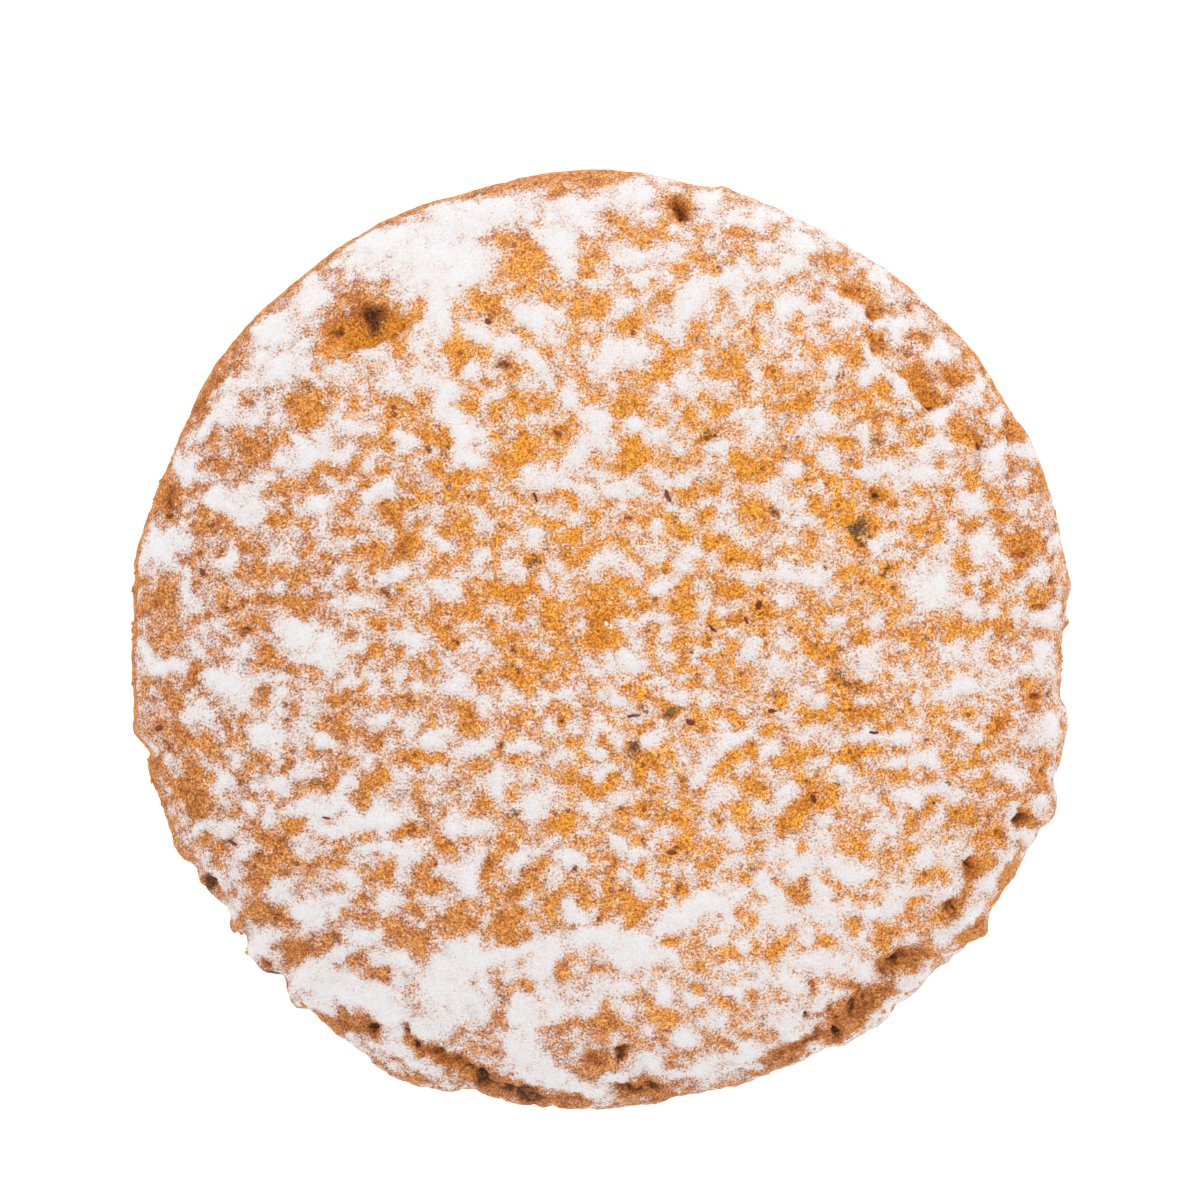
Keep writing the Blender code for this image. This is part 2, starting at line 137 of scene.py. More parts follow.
# Drifts of sugar, by strength: X, Y, half length, half width and turn of each.
SUGAR_DRIFTS = {
    1.0: (
        (-22, 38.6, 3.6, 1.4, 40), (-17, 37.8, 5.5, 3, 0), (-14, 41.6, 5.5, 2, 10),
        (-9, 42.2, 2.6, 0.7, 5), (-2, 42.4, 3.6, 0.9, 5), (-1.5, 40.7, 1.9, 0.9, 0),
        (3.6, 43.4, 3.4, 1.6, -5), (5.6, 45.2, 2.4, 0.6, -10), (10.8, 43, 1.8, 1, -90),
        (16, 38.4, 1.6, 0.9, -10), (19.4, 39, 2.2, 1.1, -30), (23.4, 39, 2.8, 0.5, -30),
        (-31.4, 30.2, 3, 1.5, 10), (-30.6, 27, 3.6, 1.6, -10), (-15.9, 32.4, 3.4, 1.5, 80),
        (-9.8, 29.3, 1.4, 0.6, 10), (-6.8, 31.8, 2.2, 1.3, -15), (-3.2, 37, 1.6, 1, -90),
        (-1, 35.1, 1.2, 0.8, -10), (1.6, 28.1, 2.8, 1.2, 20), (4.2, 27.9, 1.1, 0.8, 0),
        (4.4, 35.5, 1.3, 0.6, 10), (6.3, 30.4, 1.6, 0.6, -15), (9, 33.4, 3.2, 1.2, 50),
        (16.5, 30.9, 1.2, 0.7, -30), (16.6, 35.7, 1.1, 0.8, 20), (25.2, 36.8, 1.1, 0.5, 10),
        (26.2, 28.4, 1.4, 0.6, -70), (26.6, 31.4, 1.3, 0.6, -15), (27.6, 35.6, 1.4, 0.9, -40),
        (28.8, 25.4, 1.7, 0.7, -50), (29.4, 25.6, 1, 0.5, -90), (33.3, 28.5, 1.4, 0.8, 10),
        (-40, 16.9, 1.9, 1, -50), (-37, 22.4, 2.6, 1.1, 50), (-36.4, 13.6, 3.2, 1.1, -10),
        (-28.2, 18.2, 3.2, 1.6, 10), (-27.5, 13.4, 2, 1, 10), (-24, 20.5, 1.2, 0.8, 10),
        (-22.5, 13.9, 1.1, 0.7, 15), (-21.1, 15, 1.2, 0.8, 20), (-14.6, 24.2, 1.5, 0.8, 45),
        (-13.2, 20.6, 2.4, 1.7, -80), (-12, 17.6, 1.4, 1, 0), (-6.3, 15.9, 2.2, 1.1, 10),
        (-2, 18.2, 1.6, 0.7, 0), (1.7, 14.6, 2.6, 0.9, 0), (3.5, 21, 1.2, 0.8, 10),
        (16.1, 14.8, 1.3, 0.6, 15), (25.7, 16.4, 1.2, 0.6, 0), (26, 19.7, 1.4, 0.8, -90),
        (33.3, 21.6, 1.1, 0.8, 0), (33.4, 22.3, 1, 0.5, 20), (36.3, 13.8, 1.2, 0.7, 0),
        (40.6, 18.7, 1.1, 0.7, 20), (42, 18.2, 1.6, 0.9, -60), (-35.6, 5.1, 1.5, 0.7, -10),
        (-20.5, 6.3, 2.2, 0.8, 20), (-17, 9.6, 1.1, 0.7, 0), (-15.2, 9.3, 1.4, 0.6, -10),
        (6, 4.8, 1.3, 0.9, -20), (20.2, 6.2, 2.7, 1.1, 0), (33.1, 9.1, 1.2, 0.6, 0),
        (-44.4, -1.4, 2, 0.8, -80), (-42.4, -2.8, 2.2, 0.9, 10), (-36.4, -4.4, 2.8, 1.4, -30),
        (-32.4, -9.4, 2.2, 1.4, 10), (-29.8, 0.8, 2.4, 1.4, -10), (-27.6, -1.3, 3, 1.7, -15),
        (-22.7, -3.7, 1.2, 0.6, 0), (-18.5, -0.1, 0.9, 0.5, 0), (-16.4, -10.2, 1.5, 0.8, 40),
        (-15.1, -8.7, 1.1, 0.8, 35), (-11.5, -1.1, 1.3, 0.9, 0), (5.4, -4, 1.4, 0.7, 10),
        (13.8, -10.1, 1.4, 0.8, 10), (26.4, -9.4, 1.8, 0.8, -10), (35, -4.9, 2.4, 1.2, 20),
        (39, -3.8, 1.4, 1, 0), (43, -2, 1.8, 1.2, -90), (-37.4, -22.8, 3.2, 1, -50),
        (-32, -14.2, 2.2, 1, -10), (-27, -16.5, 3.2, 1, 10), (-22.2, -17.8, 3.6, 1.2, 5),
        (-18.3, -21, 1.8, 1.3, 10), (-7.4, -21.7, 2.9, 1.1, 30), (-3, -21.8, 1.3, 0.7, 0),
        (0.7, -13, 1.2, 0.7, 20), (11.3, -11.7, 1.4, 0.9, 65), (16.8, -11, 1.2, 0.8, -90),
        (29.6, -12.3, 1.2, 0.7, 0), (39.3, -21.4, 1.4, 0.8, 70), (-35.8, -26.2, 1.4, 0.9, -70),
        (-31.3, -24.7, 1.5, 1.1, 10), (-28.4, -27, 2.7, 1.3, -40), (-27.6, -33.6, 3, 1.9, 0),
        (-25.4, -31, 1.5, 0.8, 25), (-23, -29.1, 2.3, 1, 10), (-22, -34.6, 3, 1.3, -10),
        (-19.5, -23.3, 1.3, 0.9, -90), (-16.2, -25.6, 1.1, 0.8, -20), (-16, -34.2, 2.6, 1.8, 0),
        (-12.9, -23.3, 2.6, 1.5, 80), (-12.4, -31.4, 4.2, 2, 0), (-10.9, -27.2, 1.2, 0.8, 30),
        (-6.5, -30.8, 4, 1.2, 0), (-4.8, -32.2, 1.2, 0.8, 0), (-2.5, -32.2, 1, 0.7, 0),
        (-2.2, -27.2, 1.5, 1.1, -20), (-0.8, -29.3, 4.4, 0.9, 5), (0.5, -34.4, 1.6, 0.9, 0),
        (3.4, -31, 3.6, 1.7, -15), (6.5, -30.5, 1.5, 0.7, -25), (6.6, -27.9, 2.6, 1.2, 10),
        (10.4, -26.4, 3.4, 1.4, 20), (12.6, -24.6, 2, 0.9, 25), (14, -34.3, 1.2, 0.8, -90),
        (14.2, -30.6, 1.2, 0.8, -90), (18, -27.2, 2.6, 1, -5), (18.6, -33.9, 1.6, 0.7, 15),
        (20.6, -32, 3.2, 1, 0), (24.7, -23.4, 1.7, 0.9, 0), (25.4, -32.2, 2.2, 0.9, -5),
        (27.3, -27, 2.2, 0.9, 10), (28.2, -25.6, 1.2, 0.8, 75), (30.2, -24.7, 1.2, 0.7, 0),
        (31, -33.4, 1.8, 0.7, 40), (36.4, -26.6, 1.5, 1.1, 40), (38.1, -23.6, 1.6, 0.9, 60),
        (-25, -35.2, 3.8, 1.3, -10), (-21.8, -40.4, 2.2, 0.8, -35), (-17.6, -42.2, 2.2, 0.7, -25),
        (-14.9, -40.3, 1.4, 0.7, -25), (-12.4, -36.2, 3, 2.1, 10), (-7.8, -37.2, 2.8, 1.7, -90),
        (-7.4, -43.4, 1.7, 0.6, 0), (-4.6, -42.6, 2.8, 1.1, -30), (-1.4, -44.4, 2.8, 0.8, -10),
        (1.9, -38.8, 1.3, 0.8, 75), (1.9, -43, 1.8, 0.6, 10), (7.8, -43, 1.3, 0.6, 0),
        (8.1, -39.1, 1.4, 1, 0), (11, -42, 2.6, 1.1, 10), (14, -42.4, 2.2, 0.5, 15),
        (14.2, -40.6, 2.6, 0.8, 15), (17.8, -38.2, 2.6, 1.1, 15), (20.4, -41, 2.4, 0.4, 20),
        (24.6, -39.2, 2.2, 0.5, 30), (28.4, -36.4, 2.4, 0.6, 40),
    ),
    0.8: (
        (6.8, 37.8, 1.2, 0.8, 0), (13.6, 41.2, 2.2, 0.8, -20), (18.3, 37.2, 1.2, 0.7, 0),
        (-28.5, 29, 1.6, 0.7, 15), (12.4, 36, 2.2, 0.8, 0), (13.6, 33, 1.8, 1, -30),
        (14.3, 35.3, 1.1, 0.8, 0), (19, 27.4, 1.1, 0.7, -80), (22.7, 27, 1.3, 0.9, 0),
        (23.2, 35.9, 0.9, 0.5, 30), (23.6, 31.4, 2.2, 0.6, 0), (25.7, 25.9, 1.4, 0.6, 0),
        (-35.8, 18.5, 1.1, 0.7, -90), (-35.7, 18.6, 1.2, 0.8, -90), (-33.4, 22, 1.8, 1.2, 0),
        (-28, 20.6, 1, 0.6, 0), (-19.6, 17.6, 1.3, 0.8, 0), (-6.6, 20.8, 1.4, 0.6, -20),
        (14.6, 22.3, 0.9, 0.6, 0), (16.8, 13.6, 2.2, 1.1, 0), (22.4, 21.4, 1.6, 0.9, -30),
        (28.2, 16.5, 1.4, 0.6, 0), (37, 24.6, 1.3, 0.8, -35), (42.2, 14, 1, 0.6, 70),
        (-36.3, 7.8, 1.7, 0.9, 80), (-24.8, 9.5, 0.9, 0.6, 20), (-14.2, 5, 1.4, 0.8, 10),
        (-6.7, 10.6, 1.3, 0.6, -15), (4.2, 9.1, 1, 0.5, 0), (9.4, 8.7, 1.3, 0.7, -20),
        (15, 6.3, 2.2, 1, 0), (22.8, 1.5, 1.8, 1, 0), (26.8, 1.7, 1.3, 0.9, 70), (36.4, 2.6, 2, 0.9, 0),
        (41.2, 2, 1.3, 0.8, 60), (43, 6.8, 1.2, 0.8, 0), (-31.1, -6.6, 1.2, 0.7, -90),
        (-24.2, -0.9, 1.8, 0.7, 10), (-18.5, 0.2, 1, 0.7, 10), (-11.8, -10.5, 3, 1.1, 10),
        (-7.3, -10.8, 1.2, 0.7, 0), (1.3, -5.7, 2, 0.7, -20), (17, -2.8, 1.2, 0.8, -70),
        (21.2, -6, 1.4, 0.9, 0), (29.4, -3.7, 1.1, 0.6, 0), (-39, -18.8, 1.7, 0.9, 20),
        (-36.8, -14, 1.6, 1.1, 60), (-34.7, -19.6, 1, 0.6, -90), (-26.2, -18.8, 1.5, 0.6, 0),
        (-19, -13.6, 1.4, 1, 0), (-12.4, -18.5, 2.2, 0.7, 0), (-10, -13, 2.3, 0.8, -90),
        (-1.3, -16.7, 1.4, 0.7, 20), (1.5, -20, 1.2, 0.8, -90), (2.4, -15.7, 1.5, 1, 0),
        (22, -19.8, 1.5, 0.9, -90), (23.5, -13.8, 1.4, 0.9, 0), (23.6, -21.8, 2.2, 1.3, 0),
        (28, -19.4, 1, 0.7, 20), (40.5, -18.9, 1.3, 0.8, -90), (42.9, -16, 1.2, 0.7, -75),
        (-21.2, -31.3, 1.5, 0.8, 0), (-1.3, -34.1, 1.4, 0.9, 0), (1.9, -27.5, 1, 0.7, 30),
        (30.2, -33, 1.4, 0.6, 40), (-5, -43.9, 1.6, 0.6, -15), (3, -36.9, 1.2, 0.8, -90),
        (5.3, -42.2, 1.4, 0.8, 45), (9.3, -35.2, 1.2, 0.7, 0), (20.8, -38.3, 1.5, 0.4, 20),
    ),
    0.6: (
        (-6.5, 40.4, 2.5, 0.5, 0), (-5.6, 43.2, 1.2, 0.6, -10), (5, 38.2, 0.9, 0.6, 0),
        (14.6, 43.1, 0.8, 0.4, -20), (17.5, 41.9, 1.5, 1, -20), (19.5, 40.9, 1.6, 0.5, -15),
        (-34.5, 25.3, 1.6, 0.7, 0), (-26, 33.8, 1, 0.7, 10), (-25, 26.7, 1.4, 0.9, 0),
        (-23.2, 35.2, 1.3, 0.8, 25), (-22, 28.4, 2, 0.8, 5), (-20.5, 25.2, 3, 1.2, 0),
        (-20.5, 27.2, 1.3, 0.6, -30), (-19.5, 34.3, 1.6, 0.6, 0), (-18.5, 30.6, 1.2, 0.7, 20),
        (-16.6, 25.6, 2.6, 1.6, -90), (-14.4, 32.3, 1.1, 0.6, 75), (-12.7, 26.1, 1.4, 0.8, 0),
        (-9.4, 28.6, 1.4, 1, -90), (-6.5, 32.6, 1.8, 0.4, 5), (-3.2, 27.7, 1.2, 0.5, -30),
        (-3, 25, 1.3, 0.7, -90), (1, 35.3, 1.4, 0.6, 10), (2.2, 32.6, 1.2, 0.8, 0),
        (2.2, 33.2, 1.2, 0.4, 5), (8.3, 29.8, 0.8, 0.4, 0), (9.2, 26.9, 1, 0.6, -30),
        (10.8, 32.3, 1.1, 0.5, 80), (22.8, 36.2, 0.7, 0.5, -90), (29.2, 29.5, 0.9, 0.5, 60),
        (-43, 15, 1.1, 0.6, 65), (-33.5, 15, 1.3, 0.5, 20), (-31.3, 23.8, 1.2, 0.8, 0),
        (-22.4, 20.9, 1, 0.6, 20), (-21, 22.8, 1.2, 0.8, 20), (-19.6, 20.2, 1.1, 0.7, 0),
        (-17, 22, 1.6, 0.7, 10), (-11.2, 23.5, 1, 0.6, 0), (6, 15.7, 1.5, 0.5, 0),
        (6.4, 24.3, 1.4, 0.6, 0), (7, 20.3, 2.2, 0.6, 0), (8.5, 15.8, 1.2, 0.5, 20),
        (14.9, 20.8, 1.2, 0.6, -90), (22, 17, 1.4, 0.9, 70), (22.5, 24.2, 0.9, 0.5, 0),
        (22.6, 18.4, 1.2, 0.8, -70), (30, 17.6, 1.3, 0.9, 0), (30.8, 23.7, 1, 0.6, -70),
        (31, 16.2, 1.5, 0.7, 0), (33.4, 19.4, 1.3, 0.8, 0), (33.6, 15.6, 1.3, 0.8, -20),
        (36.5, 23.3, 1.6, 0.5, 0), (39, 18.5, 0.9, 0.6, 0), (41, 15.6, 1.4, 0.7, 0),
        (-40, 6, 1.1, 0.5, -70), (-39.4, 3.5, 1.3, 0.9, -90), (-31.8, 13, 1.1, 0.6, 20),
        (-30.5, 10.8, 0.8, 0.5, 0), (-30.3, 9.6, 2.2, 0.7, 50), (-27.8, 3.9, 1, 0.6, -30),
        (-26.3, 3.3, 1, 0.6, 20), (-25, 7, 1.4, 0.6, 25), (-24.3, 3.5, 1.6, 1, 20),
        (-23, 1.5, 1.3, 0.8, -40), (-17.5, 7.3, 1, 0.6, 80), (-12.8, 1.6, 1.2, 0.5, 25),
        (-11.3, 12, 1.5, 0.8, 80), (-11.2, 8.5, 1, 0.5, 0), (-4.5, 8, 1.5, 0.6, -80),
        (-1.1, 1.7, 0.9, 0.6, -90), (2, 8, 2.2, 0.8, 5), (2.5, 1.6, 1.3, 0.5, -25), (5, 2, 1.8, 0.7, -20),
        (6.3, 5.9, 1.3, 0.6, 0), (9, 1.8, 1.4, 0.6, 25), (10.4, 3.6, 1.6, 0.8, 80), (11.6, 12, 2, 1, 70),
        (12.8, 9.6, 1, 0.6, -90), (17.2, 9.8, 0.9, 0.6, 0), (17.6, 7.8, 1, 0.5, -10),
        (20, 7, 1.5, 0.6, -10), (22.3, 4.8, 1.1, 0.5, 0), (22.7, 4.9, 1.1, 0.5, 0),
        (22.9, 9, 1.2, 0.8, 70), (28.5, 8.2, 1.5, 0.9, 0), (30.8, 6.3, 0.9, 0.6, 0),
        (34.9, 10.9, 1.2, 0.6, 80), (37.2, 3.5, 1, 0.6, -20), (39.7, 8, 1, 0.6, -70),
        (40.8, 3.2, 1.1, 0.6, 0), (43.6, 12.6, 1.4, 0.7, 70), (44.6, 5.5, 1.2, 0.5, -90),
        (44.9, 2.5, 0.9, 0.5, -90), (-41, 0.6, 1.2, 0.7, -30), (-37.2, -9.9, 1.1, 0.7, -70),
        (-31.5, -4.1, 1.8, 0.7, 0), (-31.4, -6.8, 1.4, 0.8, -90), (-21.5, -8, 1.6, 0.8, 0),
        (-16.4, -1.7, 0.9, 0.5, -90), (-9.7, -5.4, 0.9, 0.6, -90), (-1, -2.6, 1.4, 0.8, 0),
        (-0.6, -8.2, 1.8, 0.9, 0), (5.8, -9.2, 2, 0.7, -15), (7.2, -5.6, 1.2, 0.7, 0),
        (7.3, -1.4, 1.8, 0.8, -15), (9.4, -9.8, 1.4, 0.8, -20), (10.6, -4.2, 1, 0.7, 0),
        (11.8, -0.6, 1.4, 0.6, 30), (15.3, -0.8, 1.1, 0.8, 70), (19.2, -4.6, 1.2, 0.7, 0),
        (20.6, -9.6, 1.1, 0.6, 10), (23.3, -4.6, 1, 0.5, -20), (26.6, -6.1, 1.4, 0.6, 0),
        (32.2, -3.7, 0.8, 0.5, 0), (34.8, -8.4, 1.3, 0.7, -10), (37.2, -0.8, 1.3, 0.6, 20),
        (38.2, 0.5, 1, 0.7, 70), (43.7, -5.3, 1.1, 0.5, 80), (45.2, -0.7, 0.8, 0.5, -90),
        (-42, -11.8, 1.2, 0.8, -40), (-34.7, -21.4, 1.3, 0.8, -50), (-29.2, -20.2, 1.8, 1.3, 0),
        (-28.1, -17.9, 0.9, 0.6, -60), (-26.2, -15.2, 1.3, 0.7, 0), (-24.3, -14.2, 1.4, 0.6, 20),
        (-22.9, -12.3, 1.1, 0.6, 0), (-15.8, -14.3, 1, 0.7, -90), (-14.9, -12.8, 1.5, 0.6, 40),
        (-14.6, -19, 0.9, 0.5, 0), (-13.6, -17, 2, 1.1, 0), (-11.3, -20.4, 1.6, 0.7, -90),
        (-10.1, -15.6, 1.2, 0.8, 70), (-7.4, -13.4, 2, 0.9, -20), (-1.9, -19.2, 1, 0.7, 0),
        (-0.2, -11.4, 1.1, 0.6, 0), (10, -14.1, 0.9, 0.6, 0), (12.1, -17.6, 0.9, 0.6, -90),
        (14.2, -12.6, 1, 0.6, 0), (23, -12.8, 1, 0.6, 0), (26.8, -17.8, 2, 0.8, -10),
        (28, -12.3, 1.1, 0.8, 0), (30.5, -15.6, 1.1, 0.7, -90), (32.7, -14.8, 1.2, 0.7, 0),
        (35.8, -18.4, 1, 0.5, -90), (39.2, -12.6, 1.5, 0.8, 20), (-31.9, -26.1, 0.9, 0.5, 20),
        (-30.2, -32.2, 0.8, 0.5, -20), (-25.2, -25.8, 1.5, 0.8, 0), (-24.1, -30.2, 0.7, 0.5, 20),
        (-24, -23.2, 1.2, 0.7, 0), (-18, -31.8, 1, 0.7, 0), (-4.4, -29.1, 1, 0.6, 0),
        (12, -29.4, 1.8, 0.7, 0), (13, -34.4, 1.2, 0.8, 0), (15.5, -28.2, 1.2, 0.8, -35),
        (17.5, -28.9, 1.5, 0.6, 0), (21.8, -34.8, 1.6, 0.9, 0), (22.6, -29.1, 1.2, 0.6, -15),
        (26.6, -29.2, 2.2, 0.6, 5), (31.7, -32, 0.8, 0.5, 30), (34.8, -24, 1.2, 0.7, 75),
        (-20, -40.1, 1.3, 0.7, -45), (-2, -35.9, 1.4, 0.7, 20), (-1.3, -36.5, 1.2, 0.8, 0),
        (-0.8, -40.3, 1.2, 0.8, 0), (6.4, -40.9, 0.9, 0.6, 30), (10.7, -37, 1.2, 0.8, -90),
        (17.2, -36, 1.4, 0.8, 20), (18.4, -36.8, 0.8, 0.5, 20), (18.6, -39.3, 0.8, 0.5, 20),
        (24.4, -36.9, 1, 0.6, 20),
    ),
}

# Round dabs of sugar, by strength: X, Y and radius of each.
SUGAR_DABS = {
    1.0: (
        (-9.3, 37.9, 0.9), (-4.4, 39.4, 1.7), (7.3, 40.7, 0.8), (15.6, 41.7, 0.9), (-14, 36.4, 3.4),
        (-12, 30.2, 0.8), (-6.2, 27.1, 1.3), (8.2, 25.8, 1.1), (18.4, 32.8, 1.4), (29.6, 31.2, 1),
        (-7.2, 17, 0.7), (-2, 14.6, 1.1), (-0.3, 20.8, 1.7), (19, 16.7, 0.8), (19.4, 20.8, 0.9),
        (19.6, 13.2, 1.1), (38, 16.8, 1.1), (-42.7, 9, 2.2), (-34, 11.8, 1.6), (-31.5, 5.1, 0.8),
        (27.1, 9.7, 0.9), (32.4, 5, 2.1), (37.2, 8.9, 1.6), (43.6, 2, 1.3), (44.3, 9.8, 1),
        (-27, -9.8, 1.1), (-24.5, -4.6, 0.9), (-21.3, -5.1, 0.9), (-10.8, -6.6, 1), (-4.9, -5.6, 0.8),
        (-4.8, -9, 0.9), (-3.2, -5.7, 1), (1.1, -3, 0.9), (3, -1.9, 1.4), (4.9, -10.6, 0.8),
        (15.3, -0.3, 1), (26.1, -3.4, 0.9), (29.7, -9.8, 0.9), (43.6, -8.8, 1.6), (-35.7, -18.2, 1.1),
        (-34.8, -11.9, 0.8), (-31.9, -17.8, 0.7), (-29, -13, 1), (-22.7, -21, 0.8), (-21.2, -20.5, 1),
        (-6, -16, 1.5), (6, -18.6, 0.9), (12.9, -19, 0.8), (17.7, -16.3, 0.8), (18.6, -14.8, 1.1),
        (31.6, -21.3, 0.9), (32.2, -11.6, 0.9), (40, -17, 1), (-33, -29.6, 1.6), (-19.8, -25.1, 1.3),
        (-12.6, -29.2, 0.9), (-6.6, -33, 1.1), (-6.5, -26, 1), (-5.2, -34.5, 1), (-3.2, -26.5, 0.9),
        (2.6, -34.3, 1), (12.6, -32, 1), (16.7, -24.6, 0.9), (17.9, -25.8, 1.1), (18.3, -23.2, 1),
        (20.6, -29.6, 0.9), (21.2, -24.4, 0.9), (22.4, -26.8, 1.7), (30.5, -29.7, 0.9), (34, -29.2, 1.4),
        (-20.2, -37.4, 2), (-17, -37.8, 1.8), (-7.4, -40.6, 1.9), (-4.3, -36.7, 1), (4.6, -37.9, 1),
        (4.9, -41.3, 1), (6.4, -35, 1), (12.2, -38, 0.9), (21.7, -36.4, 0.7),
    ),
    0.8: (
        (3, 37.8, 1.2), (-28, 33.2, 2.2), (-4.3, 32, 0.8), (23, 33.6, 1), (25.2, 32.4, 0.6),
        (33.8, 29.1, 0.8), (-29.8, 24.9, 1), (-18, 19.6, 0.8), (-2.3, 23.2, 0.9), (12, 18.6, 1.2),
        (38.6, 21.8, 0.9), (-16, 5, 1), (-8.5, 7.4, 1.4), (-3, 12, 1.1), (6, 11, 1), (41.3, 5.8, 0.8),
        (41.4, 12.3, 1), (-39.3, -7.2, 1.6), (-34.3, -1.6, 1.4), (-18.4, -8.6, 1.4), (-14, -4.4, 1.4),
        (1.7, -9.5, 1.2), (18.6, -8, 1.2), (26.3, -1.7, 1.2), (30.8, -5.8, 0.9), (36.3, -9.5, 0.9),
        (-34.1, -16.7, 1), (3.7, -20.8, 0.8), (11.6, -15.2, 1.6), (19.3, -21.6, 1.1), (27, -15.9, 0.7),
        (33.7, -21, 1.1), (34.3, -15.6, 0.7), (35.8, -21.8, 1), (40.9, -13.2, 1.1), (41.4, -19.6, 0.9),
        (2.4, -23.1, 0.7), (24, -30, 1), (24.4, -24, 1),
    ),
    0.6: (
        (-0.2, 40.8, 0.9), (10.8, 38.4, 0.6), (28.4, 34.4, 0.7), (31.6, 32, 0.8), (-25.2, 22.8, 1.2),
        (-23, 17, 0.7), (-15.5, 22.8, 0.9), (-5.5, 21.4, 0.8), (-3.1, 17, 1), (1.2, 18.5, 0.8),
        (7.5, 18.5, 1), (26.4, 18.4, 0.9), (31.8, 18, 1), (37.9, 20.8, 0.9), (-43.6, 6, 0.8),
        (-27.2, 10.9, 0.9), (-23, 11.4, 1.3), (-20.3, 7.4, 1), (-11.3, 11.7, 0.6), (-5.5, 5.7, 0.9),
        (-0.5, 7.5, 1), (0.5, 6.8, 1.1), (3.4, 6.8, 0.8), (5.9, 8.7, 0.8), (8.3, 7.3, 1), (18, 3.4, 1.1),
        (19.2, 11.2, 0.8), (25.4, 13, 0.8), (37, 12.6, 1.1), (-39.5, -0.5, 1.1), (-29, -8.6, 1.1),
        (-28, -6.3, 1.3), (-19.4, -3.4, 0.9), (-17.7, -5.3, 0.9), (-9, -6.2, 1), (-5.5, -7.3, 0.7),
        (-2.6, -8.7, 0.7), (-0.7, -10.9, 0.7), (4.3, -0.3, 0.8), (9.4, -6.2, 0.7), (10.3, -1.1, 0.7),
        (12, -10, 0.8), (13.6, -6.9, 0.7), (18.3, -1.3, 0.7), (20.4, -5.2, 0.7), (34.6, -2, 1),
        (34.6, -8.6, 0.9), (35.8, -1.8, 1), (37.4, -7, 0.9), (37.9, -0.6, 0.8), (39.5, -2, 1),
        (-35.3, -21.4, 0.6), (-32.8, -13.2, 0.6), (-7.2, -17.5, 0.9), (-4.6, -19.6, 0.9), (-4, -12, 0.8),
        (-1.4, -12.7, 0.8), (-0.5, -12.8, 0.6), (4.2, -18.4, 0.7), (9.8, -18.4, 1.4), (13, -21.4, 1),
        (16, -16.6, 1.2), (16.5, -22.9, 0.8), (17.5, -20.9, 1.1), (20.5, -21.9, 0.9), (22, -17.7, 0.7),
        (29.6, -15.6, 1.3), (30.6, -23, 0.7), (33, -18.6, 1), (42.7, -17.2, 0.5), (-19, -31, 1),
        (-11.5, -33.8, 0.8), (-8.5, -34.8, 0.6), (-4, -23.9, 0.9), (-2.8, -34.9, 0.8), (-0.7, -26.6, 0.8),
        (3.9, -24.7, 0.7), (5.4, -23.2, 0.8), (8.8, -23.2, 0.8), (13.3, -33, 0.6), (16.4, -33, 1.2),
        (33.3, -25.2, 0.8), (-24, -38.6, 0.7), (-9.8, -39.5, 0.8), (-5.2, -39.7, 0.7), (-2.6, -39, 0.9),
    ),
}

